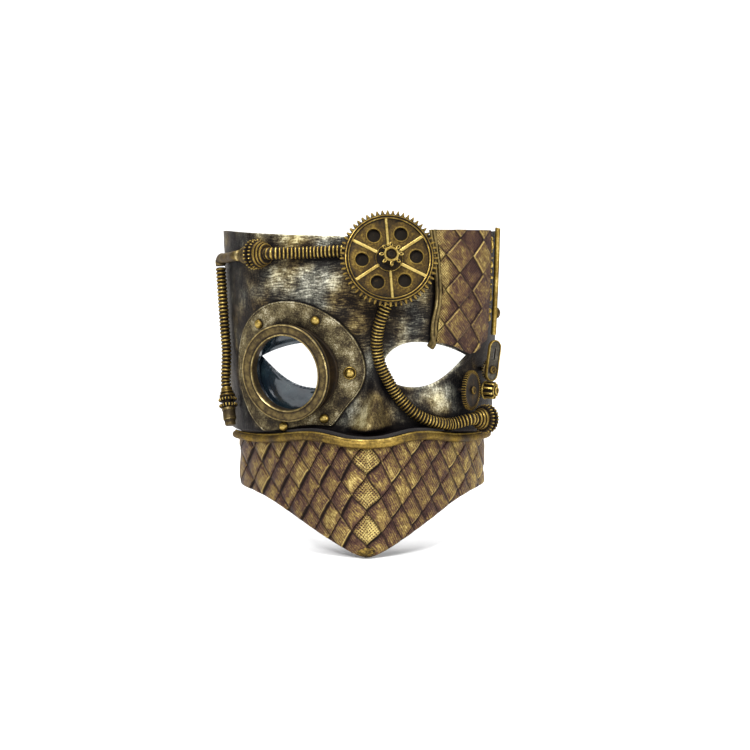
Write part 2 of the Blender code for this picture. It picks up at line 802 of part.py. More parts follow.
def plate_rivet_frame(angle_deg):
    turn = math.radians(angle_deg)
    x = EYE_X + RIVET_CIRCLE_RADIUS * math.cos(turn)
    z = EYE_Z + RIVET_CIRCLE_RADIUS * math.sin(turn)
    foot = over_face(x, z, 0.0, plain=True)
    angle = math.atan2(foot.x / half_width(z), (REAR_Y - foot.y) / plain_depth(z))
    return axis_frame(foot, face_normal(angle, z))


def rivet_profile(seat, radius, shank, length):
    """A domed head above seat, on a shank that goes down into the shell."""
    return (
        (0, seat - length), (shank, seat - length), (shank, seat), (radius, seat),
        (radius * 0.95, seat + radius * 0.35), (radius * 0.60, seat + radius * 0.65),
        (0, seat + radius * 0.78),
    )


# ---------------------------------------------------------------- gears

def pin_frame(at, yaw=None):
    """A frame standing out from the shell, along its normal unless a yaw is given."""
    angle_deg, z, out = at
    angle = math.radians(angle_deg)
    normal = face_normal(angle, z)
    centre = face_point(angle, z, plain=True) + normal * out
    axis = normal if yaw is None else facing_axis(yaw, 0)
    return axis_frame(centre, axis)


def tube_profile(inner, outer, half):
    """A plain ring about local Z, from -half to half."""
    return ((inner, -half), (outer, -half), (outer, half), (inner, half))


def gear_spoke(number, where):
    """A raised bar from the gear's hub to its rim, a little way into both."""
    turn = math.tau * number / GEAR_SPOKES + GEAR_SPOKE_TURN
    low, high = GEAR_HUB_RADIUS - GEAR_SPOKE_OVERLAP, GEAR_RIM_BORE + GEAR_SPOKE_OVERLAP
    size = (high - low, GEAR_SPOKE_WIDTH, GEAR_SPOKE_HIGH - GEAR_SPOKE_LOW)
    centre = ((high + low) / 2, 0, (GEAR_SPOKE_HIGH + GEAR_SPOKE_LOW) / 2)
    return block(f"gear_spoke_{number}", size, centre, where @ Matrix.Rotation(turn, 4, "Z"), "antique_gold")


def main_gear(where):
    holes = [circle_points(GEAR_BORE_RADIUS, 16)]
    for number in range(GEAR_SPOKES):
        turn = math.tau * (number + 0.5) / GEAR_SPOKES + GEAR_SPOKE_TURN
        centre = (GEAR_HOLE_CIRCLE * math.cos(turn), GEAR_HOLE_CIRCLE * math.sin(turn))
        holes.append(circle_points(GEAR_HOLE_RADIUS, 16, centre))
    outline = tooth_outline(GEAR_TEETH, GEAR_ROOT_RADIUS, GEAR_TIP_RADIUS)
    made = flat_plate(
        "main_gear", outline, holes, GEAR_PLATE_THICK, where, "antique_gold", -GEAR_PLATE_THICK / 2
    )
    rim = tube_profile(GEAR_RIM_BORE, GEAR_ROOT_RADIUS - 0.0008, GEAR_RIM_HALF)
    hub = tube_profile(GEAR_BORE_RADIUS + 0.0010, GEAR_HUB_RADIUS, GEAR_RIM_HALF)
    join(made, turned("gear_rim", rim, where, "antique_gold", 40))
    join(made, turned("gear_hub", hub, where, "antique_gold", 20))
    join(made, *(gear_spoke(number, where) for number in range(GEAR_SPOKES)))
    return made


def pinion_levels():
    rear = PINION_FRONT - PINION_THICK
    return (
        (GEAR_RIM_HALF + GAP, PINION_SLEEVE_RADIUS, PINION_SLEEVE_RADIUS),
        (rear, PINION_SLEEVE_RADIUS, PINION_SLEEVE_RADIUS),
        (rear + 0.0001, PINION_ROOT_RADIUS, PINION_TIP_RADIUS),
        (PINION_FRONT, PINION_ROOT_RADIUS, PINION_TIP_RADIUS),
    )


def spindle_profile(depth):
    """The gear's spindle: a boss through the shell with a flange inside it, and a pin for the gear."""
    shoulder = -GEAR_RIM_HALF - GAP
    pin_top = PINION_FRONT - PINION_RECESS_DEPTH - 0.0010
    flange = -depth - SHELL_THICK - 0.0016
    flange_foot = flange - SPINDLE_FLANGE_THICK
    return (
        (0, flange_foot), (SPINDLE_FLANGE_RADIUS, flange_foot), (SPINDLE_FLANGE_RADIUS, flange),
        (SPINDLE_BOSS_RADIUS, flange), (SPINDLE_BOSS_RADIUS, shoulder),
        (SPINDLE_RADIUS, shoulder), (SPINDLE_RADIUS, pin_top), (0, pin_top),
    )


def screw_profile():
    """The screw that holds the gear on: a head in the pinion's recess."""
    seat = PINION_FRONT - PINION_RECESS_DEPTH + GAP
    head = PINION_RECESS_RADIUS - GAP
    foot = seat - SCREW_THREAD_LENGTH
    return (
        (0, foot), (SCREW_THREAD_RADIUS, foot), (SCREW_THREAD_RADIUS, seat), (head, seat),
        (head, seat + 0.0007), (head - 0.0006, seat + 0.0011), (0, seat + 0.0011),
    )


# ---------------------------------------------------------------- hoses and couplings

def coupling(prefix, where, radius, ring, tip, root, teeth, nose):
    """A ferrule over the hose end, a double toothed collar and, if asked for, a nose cone beyond it."""
    stub = radius * STUB_SHARE
    socket = radius + GAP
    behind = -COLLAR_HALF - GAP
    cone_foot = COLLAR_HALF + GAP
    stub_end = 0.0060 if nose else COLLAR_HALF
    ferrule = (
        (socket, FERRULE_MOUTH), (ring - 0.0006, FERRULE_MOUTH), (ring, FERRULE_MOUTH + 0.0006),
        (ring, FERRULE_NECK - 0.0004), (ring - 0.0010, FERRULE_NECK), (ring - 0.0010, behind),
        (stub, behind), (stub, stub_end), (0, stub_end), (0, FERRULE_INNER_END), (socket, FERRULE_INNER_END),
    )
    turned(prefix + "_ferrule", ferrule, where, "antique_gold", 16)
    waist = root - 0.0008
    waist_half = COLLAR_GROOVE_HALF - 0.0004
    levels = (
        (-COLLAR_HALF, root, tip), (-COLLAR_GROOVE_HALF, root, tip), (-waist_half, waist, waist),
        (waist_half, waist, waist), (COLLAR_GROOVE_HALF, root, tip), (COLLAR_HALF, root, tip),
    )
    toothed(prefix + "_collar", teeth, levels, stub + GAP, where, "antique_gold")
    if nose:
        wide, narrow, length = nose
        cone = (
            (stub + GAP, cone_foot), (wide, cone_foot), (wide, cone_foot + 0.0020), (narrow, length),
            (0, length), (0, stub_end + 0.0004), (stub + GAP, stub_end + 0.0004),
        )
        turned(prefix + "_cone", cone, where, "antique_gold", 16)


def hose_end(where):
    """The last points of a hose: before its coupling's mouth, at the mouth and inside the socket."""
    heights = (FERRULE_MOUTH - HOSE_LEAD, FERRULE_MOUTH - GAP, FERRULE_INNER_END - 0.0004)
    return [where @ Vector((0, 0, height)) for height in heights]


# ---------------------------------------------------------------- nose pad and strap

def build_nose_pad():
    """The nose pad: its front follows the inside of the shell and its rear is flat."""
    columns, rows = 8, 6
    shape = bmesh.new()
    bmesh.ops.create_grid(shape, x_segments=columns, y_segments=rows, size=1)
    inset = SHELL_THICK + 2 * GAP
    for vertex in shape.verts:
        x, z = vertex.co.x * PAD_WIDTH / 2, vertex.co.y * PAD_HEIGHT / 2
        vertex.co = over_face(x, z, -inset)
    grown = bmesh.ops.extrude_face_region(shape, geom=shape.faces[:])
    for element in grown["geom"]:
        if isinstance(element, bmesh.types.BMVert):
            element.co.y = 0.0
    from_bmesh("nose_pad", shape, "black_foam")


def strap_path():
    """The strap's plan, as (x, y), from the wearer's right round the back to the left."""
    half = (
        (STRAP_X, 0.0540), (STRAP_X, 0.0670), (0.0815, 0.0780), (0.0740, 0.0900),
        (0.0560, 0.1010), (0.0300, 0.1065), (0.0, 0.1080),
    )
    points = [Vector((-x, y, 0)) for x, y in half]
    points += [Vector((x, y, 0)) for x, y in reversed(half[:-1])]
    return smooth_path(points, 3)


def strap(pivot):
    path = strap_path()
    outline = []
    for offset in (STRAP_THICK / 2, -STRAP_THICK / 2):
        side = []
        for index, point in enumerate(path):
            before = path[max(0, index - 1)]
            after = path[min(len(path) - 1, index + 1)]
            along = (after - before).normalized()
            side.append((point.x - along.y * offset, point.y - pivot.y + along.x * offset))
        outline += side if offset > 0 else side[::-1]
    where = Matrix.Translation(pivot)
    return flat_plate("strap", outline, (), STRAP_WIDTH, where, "black_elastic", -STRAP_WIDTH / 2)


# ---------------------------------------------------------------- shell, eyepiece, gear and hoses

def build_shell_and_chin():
    shell = sheet("face_shell", SHELL_COLUMNS, SHELL_ROWS, shell_place, SHELL_THICK, "antique_bronze")
    cut(shell, eye_cutter(1), eye_cutter(-1), rear_trimmer())
    sheet("chin_panel", SHELL_COLUMNS, CHIN_ROWS, chin_place, CHIN_THICK, "woven_leather")
    lip_trim()
    sheet("brow_panel", BROW_COLUMNS, BROW_ROWS, brow_place, BROW_THICK, "woven_leather")
    tube("brow_trim_inner", brow_edge(0, -1, 0.02, 1.0, 12), TRIM_RADIUS, "antique_gold")
    tube("brow_trim_outer", brow_edge(1, 1, 0.0, 1.0, 8), TRIM_RADIUS, "antique_gold")
    return shell


def build_eyepiece(shell):
    plate = lofted("eye_plate", plate_loops(), "antique_gold")
    lofted("eye_barrel", barrel_loops(), "antique_gold", EYE_FRAME)
    turned("eye_bezel", bezel_profile(), EYE_FRAME, "antique_gold", 32)
    for number, angle_deg in enumerate(RIVET_ANGLES, start=1):
        frame = plate_rivet_frame(angle_deg)
        seat = PLATE_LIFT + GAP
        profile = rivet_profile(seat, RIVET_RADIUS, RIVET_SHANK_RADIUS, RIVET_LENGTH)
        turned(f"plate_rivet_{number}", profile, frame, "antique_gold", 12)
        hole = hole_cutter(f"plate_hole_{number}", RIVET_SHANK_RADIUS + 2 * GAP, frame)
        cut(plate, hole)
        cut(shell, hole)


def build_main_gear(shell):
    axis = facing_axis(GEAR_YAW, GEAR_PITCH)
    where = axis_frame(Vector(GEAR_CENTRE), axis)
    main_gear(where)
    pinion = toothed(
        "main_pinion", PINION_TEETH, pinion_levels(), GEAR_BORE_RADIUS, where, "antique_gold", BLUNT
    )
    recess = rod("pinion_recess", PINION_RECESS_RADIUS, PINION_FRONT - PINION_RECESS_DEPTH,
                 PINION_FRONT + 0.002, where, "antique_gold", 24)
    cut(pinion, as_cutter(recess))
    foot = slide(Vector(GEAR_CENTRE), -axis, 0.0, plain=True)
    depth = (foot - Vector(GEAR_CENTRE)).length
    turned("gear_spindle", spindle_profile(depth), where, "antique_gold", 16)
    turned("gear_screw", screw_profile(), where, "antique_gold", 16)
    hole_at = Matrix.Translation(foot - Vector(GEAR_CENTRE)) @ where
    cut(shell, hole_cutter("spindle_hole", SPINDLE_BOSS_RADIUS + 2 * GAP, hole_at, sides=16))


def hose_path(table, radius):
    """Centre points of a hose lying against the face."""
    return [rest_ball(x, z, radius + HOSE_CLEAR) for x, z in table]


def coupling_frame(at, axis, radius):
    x, z = at
    return axis_frame(rest_ball(x, z, radius + HOSE_CLEAR), Vector(axis))


def build_top_hose():
    root, tip = 0.0074, 0.0094
    where = coupling_frame(TOP_COUPLING, TOP_COUPLING_AXIS, tip)
    coupling("top", where, HOSE_RADIUS, 0.0080, tip, root, COLLAR_TEETH, (0.0062, 0.0046, 0.0115))
    path = smooth_path(hose_path(TOP_HOSE, HOSE_RADIUS) + hose_end(where), 3)
    tube("top_hose", path, HOSE_RADIUS, "antique_gold")
    bend = [where @ Vector((0, 0, height)) for height in ELBOW_STARTS]
    bend += [on_face(*turn) for turn in ELBOW_BEND]
    tube("elbow", smooth_path(bend, 3), SIDE_HOSE_RADIUS, "antique_gold")


def build_side_hose():
    root, tip = 0.0048, 0.0062
    top, foot = on_face(*SIDE_COUPLING_TOP), on_face(*SIDE_COUPLING_FOOT)
    axis = (foot - top).normalized()
    where = axis_frame(top + axis * SIDE_COUPLING_DROP, axis, Vector((0, -1, 0)))
    coupling("side", where, SIDE_HOSE_RADIUS, 0.0050, tip, root, SIDE_COLLAR_TEETH, (0.0044, 0.0034, 0.0150))
    run = [on_face(angle_deg, z, SIDE_RUN_HEIGHT) for angle_deg, z in SIDE_RUN]
    tube("side_hose", smooth_path(run + hose_end(where), 2), SIDE_HOSE_RADIUS, "antique_gold")


def build_face_hose():
    root, tip = 0.0074, 0.0094
    where = coupling_frame(CHEEK_COUPLING, CHEEK_COUPLING_AXIS, tip)
    coupling("cheek", where, HOSE_RADIUS, 0.0066, tip, root, COLLAR_TEETH, None)
    path = smooth_path(hose_path(FACE_HOSE, HOSE_RADIUS) + hose_end(where), 2)
    tube("face_hose", path, HOSE_RADIUS, "antique_gold")


# ---------------------------------------------------------------- cheek train

def add_pin(name, where, high, depth, shell):
    """A pin through the shell, with a head that keeps a wheel on, and the hole it passes through."""
    top = high + PIN_HEAD_THICK
    profile = (
        (0, -depth), (PIN_RADIUS, -depth), (PIN_RADIUS, high), (PIN_HEAD_RADIUS, high),
        (PIN_HEAD_RADIUS, high + 0.0008), (PIN_HEAD_RADIUS - 0.0006, top), (0, top),
    )
    turned(name, profile, where, "antique_gold", 12)
    cut(shell, hole_cutter(name + "_hole", PIN_HOLE_RADIUS, where, depth + 0.0020))


def build_cheek_wheel(shell):
    where = pin_frame(WHEEL_AT, WHEEL_YAW)
    root, tip = WHEEL_RADIUS - WHEEL_TOOTH, WHEEL_RADIUS
    levels = ((-WHEEL_HALF, root, tip), (WHEEL_HALF, root, tip))
    toothed("cheek_wheel", WHEEL_TEETH, levels, WHEEL_BORE_RADIUS, where, "antique_gold")
    add_pin("wheel_pin", where, WHEEL_HALF + GAP, 0.0130, shell)


def build_cheek_pinion(shell):
    where = pin_frame(CHEEK_PINION_AT)
    flange = CHEEK_FLANGE_RADIUS
    root, tip = CHEEK_PINION_RADIUS - CHEEK_PINION_TOOTH, CHEEK_PINION_RADIUS
    levels = (
        (-CHEEK_FLANGE_THICK, flange, flange), (0.0, flange, flange),
        (0.0002, root, tip), (CHEEK_PINION_LENGTH, root, tip),
    )
    toothed("cheek_pinion", CHEEK_PINION_TEETH, levels, WHEEL_BORE_RADIUS, where, "antique_gold", BLUNT)
    add_pin("pinion_arbor", where, CHEEK_PINION_LENGTH + GAP, 0.0080, shell)


def build_lever(shell):
    where = pin_frame(LEVER_AT, LEVER_YAW)
    root, tip = SIDE_GEAR_RADIUS - SIDE_GEAR_TOOTH, SIDE_GEAR_RADIUS
    levels = ((-SIDE_GEAR_HALF, root, tip), (SIDE_GEAR_HALF, root, tip))
    toothed("side_gear", SIDE_GEAR_TEETH, levels, WHEEL_BORE_RADIUS, where, "antique_gold")
    outline = stadium(LEVER_HALF_WIDTH, -LEVER_TAIL, LEVER_LENGTH)
    holes = (circle_points(WHEEL_BORE_RADIUS, 12), stadium(SLOT_HALF_WIDTH, SLOT_LOW, LEVER_LENGTH))
    base = SIDE_GEAR_HALF + GAP
    leaning = where @ Matrix.Rotation(LEVER_LEAN, 4, "Z")
    flat_plate("slotted_lever", outline, holes, LEVER_THICK, leaning, "antique_gold", base)
    add_pin("lever_pin", where, base + LEVER_THICK + GAP, 0.0130, shell)


# ---------------------------------------------------------------- strap

def strap_rivet_profile(seat, inner):
    """A rivet through shell and strap: a domed head outside and a flange inside."""
    head, flange = STRAP_RIVET_HEAD_RADIUS, STRAP_RIVET_FLANGE_RADIUS
    foot = inner - STRAP_RIVET_FLANGE_THICK
    return (
        (0, foot), (flange, foot), (flange, inner), (STRAP_RIVET_RADIUS, inner), (STRAP_RIVET_RADIUS, seat),
        (head, seat), (head * 0.95, seat + 0.0010), (head * 0.55, seat + 0.0020),
        (0, seat + STRAP_RIVET_HEAD_HIGH),
    )


def build_strap(shell):
    pivot = Vector((0, STRAP_PIVOT_Y, STRAP_Z))
    band = strap(pivot)
    for side, name in ((1, "left"), (-1, "right")):
        outwards = Vector((side, 0, 0))
        where = axis_frame(Vector((side * STRAP_X, STRAP_PIVOT_Y, STRAP_Z)), outwards)
        lip = STRAP_THICK / 2 + GAP
        eyelet = tube_profile(STRAP_RIVET_RADIUS + GAP, EYELET_RADIUS, lip)
        turned(f"strap_eyelet_{name}", eyelet, where, "antique_gold", 16)
        cut(band, hole_cutter(f"eyelet_hole_{name}", EYELET_RADIUS + 2 * GAP, where, 0.0040, 16))
        beside = Vector((side * (HALF_WIDTH + 0.020), STRAP_PIVOT_Y, STRAP_Z))
        seat = slide(beside, -outwards, 0.0).x * side - STRAP_X + GAP
        turned(f"strap_rivet_{name}", strap_rivet_profile(seat, -lip - GAP), where, "antique_gold", 16)
        cut(shell, hole_cutter(f"rivet_hole_{name}", STRAP_RIVET_RADIUS + 2 * GAP, where, 0.0100))


# ---------------------------------------------------------------- build

SHELL = build_shell_and_chin()
build_eyepiece(SHELL)
build_main_gear(SHELL)
build_top_hose()
build_side_hose()
build_face_hose()
build_cheek_wheel(SHELL)
build_cheek_pinion(SHELL)
build_lever(SHELL)
build_nose_pad()
build_strap(SHELL)
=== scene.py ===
"""Looks of the steampunk full-face mask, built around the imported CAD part.

The CAD solids are stood for by finer pieces made from the same surface functions: the moulded face, the
woven chin and brow panels, the eyepiece, the gears, the ribbed hoses, the nose pad and the strap. Metres,
+Z up, the mask faces -Y.
"""

import math

import bmesh
import bpy
import numpy as np
from mathutils import Matrix, Vector, noise


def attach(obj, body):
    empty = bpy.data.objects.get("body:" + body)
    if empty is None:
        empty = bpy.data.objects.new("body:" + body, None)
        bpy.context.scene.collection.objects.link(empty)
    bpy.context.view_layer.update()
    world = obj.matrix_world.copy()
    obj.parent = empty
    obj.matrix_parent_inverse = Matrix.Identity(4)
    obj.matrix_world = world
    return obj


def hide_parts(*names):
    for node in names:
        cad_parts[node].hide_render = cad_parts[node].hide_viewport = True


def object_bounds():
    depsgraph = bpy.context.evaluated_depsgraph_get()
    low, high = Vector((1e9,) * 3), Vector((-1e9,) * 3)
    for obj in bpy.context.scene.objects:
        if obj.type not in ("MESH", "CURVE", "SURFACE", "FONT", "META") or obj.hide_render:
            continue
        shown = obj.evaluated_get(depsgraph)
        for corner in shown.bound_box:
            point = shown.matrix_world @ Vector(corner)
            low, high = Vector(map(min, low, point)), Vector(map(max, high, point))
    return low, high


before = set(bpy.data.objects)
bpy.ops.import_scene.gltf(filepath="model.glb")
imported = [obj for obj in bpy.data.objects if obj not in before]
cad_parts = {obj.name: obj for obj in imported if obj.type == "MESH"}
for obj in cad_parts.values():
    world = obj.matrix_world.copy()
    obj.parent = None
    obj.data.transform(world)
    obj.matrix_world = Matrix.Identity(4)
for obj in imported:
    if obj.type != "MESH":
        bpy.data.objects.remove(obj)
CAD_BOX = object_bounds()

MM = 0.001
GAP = 0.3 * MM

# Face shell, as in the CAD
REAR_Y = 0.068
HALF_WIDTH = 0.0873
WIDTH_PER_HEIGHT = 0.04
SQUARENESS = 0.035
FRONT_Y = -0.006
FOREHEAD_BULGE = 0.010
FOREHEAD_Z = 0.050
FOREHEAD_REACH = 0.040
TOP_Z = 0.0805
TOP_CORNER_RISE = 0.0035
SHELL_THICK = 0.0024
SHELF_RISE = 0.0034
SHELF_FILLET = 0.0018
REAR_TRIM = 0.0004
CENTRE_SPACING = 0.62

# Chin panel and lip line, as in the CAD
CHIN_HALF_WIDTH = 0.080
CHIN_REAR_Y = 0.058
CHIN_TOP_Y = -0.032
CHIN_LEAN = 0.21
CHIN_TIP_Z = -0.1145
CHIN_THICK = 0.0022
CHIN_SHARPNESS = 1.5
CHIN_FULLNESS = 0.72
CHIN_RISE = -0.0012
LIP_Z = -0.0490
LIP_WAVE = 0.0052
LIP_WAVE_X = 0.032
LIP_WAVE_REACH = 0.021
LIP_RADIUS = 0.0025

# Brow panel, as in the CAD
BROW_LIFT = 0.0034
BROW_THICK = 0.0024
BROW_INNER = (
    (0.0100, 0.0425), (0.0220, 0.0449), (0.0345, 0.0466),
    (0.0470, 0.0465), (0.0656, 0.0452), (0.0840, 0.0428),
)
BROW_FOOT = (
    (0.0425, 0.0145), (0.0480, 0.0140), (0.0548, 0.0118), (0.0615, 0.0080),
    (0.0656, 0.0062), (0.0715, 0.0100), (0.0790, 0.0172), (0.0860, 0.0200),
)
BROW_OUTER_ANGLE = math.radians(62.5)

# Eyepiece, as in the CAD
EYE_X = -0.0450
EYE_Z = -0.0038
EYE_YAW = math.radians(-30)
EYE_PITCH = math.radians(-5)
PLATE_RADIUS = 0.0445
PLATE_HOLE_RADIUS = 0.0262
PLATE_FLAT = 0.0042
PLATE_LIFT = 0.0019
PLATE_THICK = 0.0012
PLATE_FLOOR_RISE = 0.0064
BARREL_RADIUS = 0.0285
BARREL_BORE_RADIUS = 0.0236
BARREL_TOP = 0.0066
BARREL_LIFT = 0.0023
REBATE_RADIUS = 0.0264
REBATE_DEPTH = 0.0020
BEZEL_RADIUS = 0.0307
BEZEL_BORE_RADIUS = 0.0234
BEZEL_THICK = 0.0044
RIVET_CIRCLE_RADIUS = 0.0355
RIVET_ANGLES = (124, 66, -1, -56, -98)
RIVET_RADIUS = 0.0030
RINGED_RIVET = -1

# Gears, as in the CAD
GEAR_CENTRE = (0.0140, -0.0272, 0.0668)
GEAR_YAW = math.radians(5)
GEAR_PITCH = math.radians(14)
GEAR_TEETH = 56
GEAR_TIP_RADIUS = 0.0304
GEAR_ROOT_RADIUS = 0.0277
GEAR_RIM_BORE = 0.0247
GEAR_RIM_HALF = 0.0021
GEAR_HOLE_RADIUS = 0.0042
GEAR_HOLE_CIRCLE = 0.0168
GEAR_SPOKES = 6
GEAR_SPOKE_TURN = math.radians(93)
GEAR_HUB_RADIUS = 0.0082
PINION_FRONT = 0.0126
PINION_THICK = 0.0030
WHEEL_AT = (44.3, -0.0165, 0.0074)
WHEEL_YAW = math.radians(62)
WHEEL_RADIUS = 0.0126
CHEEK_PINION_AT = (59.0, -0.0180, 0.0030)
CHEEK_PINION_RADIUS = 0.0056
LEVER_AT = (57.5, -0.0045, 0.0062)
LEVER_YAW = math.radians(38)
LEVER_LEAN = math.radians(-10)
LEVER_LENGTH = 0.0142
LEVER_TAIL = 0.0023
LEVER_BLADE_HALF_WIDTH = 0.0049
LEVER_THICK = 0.0014
SLOT_LOW = 0.0052
SLOT_HALF_WIDTH = 0.0013
SIDE_GEAR_RADIUS = 0.0072

# Hoses and couplings, as in the CAD
HOSE_RADIUS = 0.0037
HOSE_CLEAR = 0.0007
SIDE_HOSE_RADIUS = 0.0033
TOP_HOSE = ((-0.0040, 0.0708), (-0.0139, 0.0713), (-0.0219, 0.0710), (-0.0342, 0.0704))
TOP_COUPLING = (-0.0679, 0.0690)
TOP_COUPLING_AXIS = (-0.737, 0.672, -0.055)
FACE_HOSE = (
    (0.0155, 0.0480), (0.0137, 0.0405), (0.0110, 0.0340), (0.0088, 0.0275), (0.0074, 0.0205),
    (0.0069, 0.0130), (0.0081, 0.0045), (0.0108, -0.0027), (0.0145, -0.0097), (0.0191, -0.0173),
    (0.0244, -0.0238), (0.0309, -0.0298), (0.0386, -0.0341), (0.0475, -0.0368), (0.0545, -0.0375),
)
CHEEK_COUPLING = (0.0775, -0.0356)
CHEEK_COUPLING_AXIS = (0.740, 0.670, -0.060)
SIDE_COUPLING_TOP = (-70.0, -0.0130, 0.0062)
SIDE_COUPLING_FOOT = (-63.0, -0.0440, 0.0078)
ELBOW_BEND = (
    (-57.0, 0.0671, 0.0074), (-64.0, 0.0665, 0.0054), (-69.0, 0.0664, 0.0044), (-72.1, 0.0664, 0.0042),
    (-73.8, 0.0657, 0.0042), (-75.0, 0.0642, 0.0042), (-75.5, 0.0623, 0.0042), (-75.5, 0.0612, 0.0042),
)
HOSE_ENDS = (-0.0140, -0.0098, -0.0066)
RIB_PITCH = 0.0024
FACE_RIB_PITCH = 0.0021

# Nose pad and strap, as in the CAD
PAD_WIDTH = 0.0150
PAD_HEIGHT = 0.0120
STRAP_Z = 0.0300
STRAP_PIVOT_Y = 0.0605
STRAP_X = 0.0830
STRAP_WIDTH = 0.0150
STRAP_THICK = 0.0014
STRAP_RIVET_RADIUS = 0.0017
STRAP_RIBS = 9

# Weave: the step from one tile to the next along each strip, as (across, up)
WEAVE_CENTRE_Z = -0.0763
WEAVE_LEFT = ((0.0065, -0.00865), (0.0065, 0.01245))
WEAVE_RIGHT = ((0.0065, -0.01335), (0.0065, 0.00775))
WEAVE_CENTRE_EXTRA = 0.0025
BROW_WEAVE = ((0.0099, -0.0114), (0.0099, 0.0102))
BROW_WEAVE_ORIGIN = (math.radians(38.4), 0.0468)
BROW_ARC_RADIUS = 0.0873
WEAVE_HEIGHT = 0.0015

# Fineness of the meshes, and the lengths it is spread over
SHELL_STEP = 0.0009
PANEL_STEP = 0.0005
GIRTH = 0.262
SHELL_HEIGHT = 0.126
CHIN_HEIGHT = 0.062
BROW_HEIGHT = 0.076
EYE_STEPS = 18
SLIDE_REACH = 0.120

# Visual details
BROW_PANEL_END = 0.86
BROW_BEADS_AT = 0.91
PIN_RADIUS = 0.0015
PIN_BORE_RADIUS = 0.0018
PETAL_CIRCLE = 0.0059
PETAL_STRETCH = 1.75
COLLAR_TIP_RADIUS = 0.0094
COLLAR_ROOT_RADIUS = 0.0078
COLLAR_TEETH = 24
HATCH_PITCH = 0.00120
STITCH_PITCH = 0.0009
CORD_PITCH = 0.00083

# Stage: the sweep of paper, the lamps as (name, place, aim, size, power), and the camera
FLOOR_GAP = 0.0004
SWEEP_START = 1.2
SWEEP_RADIUS = 0.9
SWEEP_HALF_WIDTH = 4.0
AMBIENT = 0.42
MIDDLE = (0.0, 0.0, -0.01)
LAMPS = (
    ("key", (-0.40, -1.15, 0.85), MIDDLE, (0.50, 0.40), 16.0),
    ("fill", (0.95, -0.85, 0.25), MIDDLE, (0.25, 0.60), 6.0),
    ("top", (0.0, -0.10, 1.20), MIDDLE, (0.9, 0.4), 5.0),
    ("backdrop", (0.0, 0.20, 1.60), (0.0, 1.60, 0.20), (2.4, 1.0), 46.0),
)
CAMERA_AZIMUTH = math.radians(-2)
CAMERA_ELEVATION = math.radians(4)
CAMERA_DISTANCE = 1.300
CAMERA_AIM = (0.0073, 0.026, -0.0083)
LENS_MM = 97.5
SENSOR_MM = 36.0


# ---------------------------------------------------------------- surface functions on numpy arrays

def smoothstep(low, high, value):
    t = np.clip((value - low) / (high - low), 0.0, 1.0)
    return t * t * (3 - 2 * t)


def bump(value, centre, reach):
    return np.exp(-(((value - centre) / reach) ** 2))


def spot(x, z, at_x, at_z, reach_x, reach_z):
    return bump(x, at_x, reach_x) * bump(z, at_z, reach_z)


def relief(x, z):
    """How far the face stands forward of the plain shell: brow, eye socket, cheek and nose."""
    side = np.abs(x)
    seat = smoothstep(0.0465, 0.0580, np.hypot(x - EYE_X, z - EYE_Z))
    soft = (
        0.0045 * spot(side, z, 0.036, 0.028, 0.024, 0.010)
        - 0.0040 * spot(side, z, 0.038, 0.000, 0.026, 0.014)
        + 0.0035 * spot(side, z, 0.044, -0.028, 0.018, 0.010)
    )
    down = smoothstep(0.026, -0.040, z)
    nose = (0.003 + 0.016 * down) * smoothstep(-0.047, -0.039, z) * smoothstep(0.034, 0.006, z)
    nose = nose * bump(x, 0, 0.0065 + 0.0040 * down)
    wings = 0.0040 * spot(side, z, 0.0100, -0.0370, 0.0045, 0.0045)
    return (soft + nose + wings) * seat


def half_width(z):
    return HALF_WIDTH + WIDTH_PER_HEIGHT * z


def plain_depth(z):
    return REAR_Y - FRONT_Y + FOREHEAD_BULGE * bump(z, FOREHEAD_Z, FOREHEAD_REACH)


def stacked(x, y, z):
    return np.stack(np.broadcast_arrays(x, y, z), axis=-1)


def face_point(angle, z, plain=False):
    """The face shell's outer surface. angle is 0 at the nose and 90 degrees at the wearer's left edge."""
    fullness = 1 + SQUARENESS * np.sin(2 * angle) ** 2
    x = half_width(z) * np.sin(angle) * fullness
    y = REAR_Y - plain_depth(z) * np.cos(angle) * fullness
    if not plain:
        y = y - relief(x, z) * smoothstep(0, 0.3, np.cos(angle))
    return stacked(x, y, z)


def unit(vectors):
    return vectors / np.maximum(np.linalg.norm(vectors, axis=-1, keepdims=True), 1e-12)


def surface_normal(surface, angle, z, step=0.0005):
    across = surface(angle + step, z) - surface(angle - step, z)
    upward = surface(angle, z + step) - surface(angle, z - step)
    return unit(np.cross(across, upward))


def plain_face(angle, z):
    return face_point(angle, z, plain=True)


def angle_of(points):
    z = points[..., 2]
    return np.arctan2(points[..., 0] / half_width(z), (REAR_Y - points[..., 1]) / plain_depth(z))


def clearance(points, surface):
    """How far points stand out from the shell's outer surface."""
    angle, z = angle_of(points), points[..., 2]
    return ((points - surface(angle, z)) * surface_normal(surface, angle, z)).sum(axis=-1)


def slide(start, direction, wanted, surface=plain_face):
    """Moves points along a direction, from outside, until they are this far out from the shell."""
    start = np.asarray(start, float)
    low = np.zeros(start.shape[:-1])
    high = np.full(start.shape[:-1], SLIDE_REACH)
    for _ in range(24):
        middle = (low + high) / 2
        outside = clearance(start + direction * middle[..., None], surface) > wanted
        low = np.where(outside, middle, low)
        high = np.where(outside, high, middle)
    return start + direction * low[..., None]


def over_face(x, z, wanted, surface=face_point):
    """The points in front of (x, z) that are this far out from the shell."""
    return slide(stacked(x, -0.080, z), np.array((0.0, 1.0, 0.0)), wanted, surface)


def on_face(angle_deg, z, height):
    angle = math.radians(angle_deg)
    return plain_face(angle, z) + surface_normal(plain_face, angle, z) * height


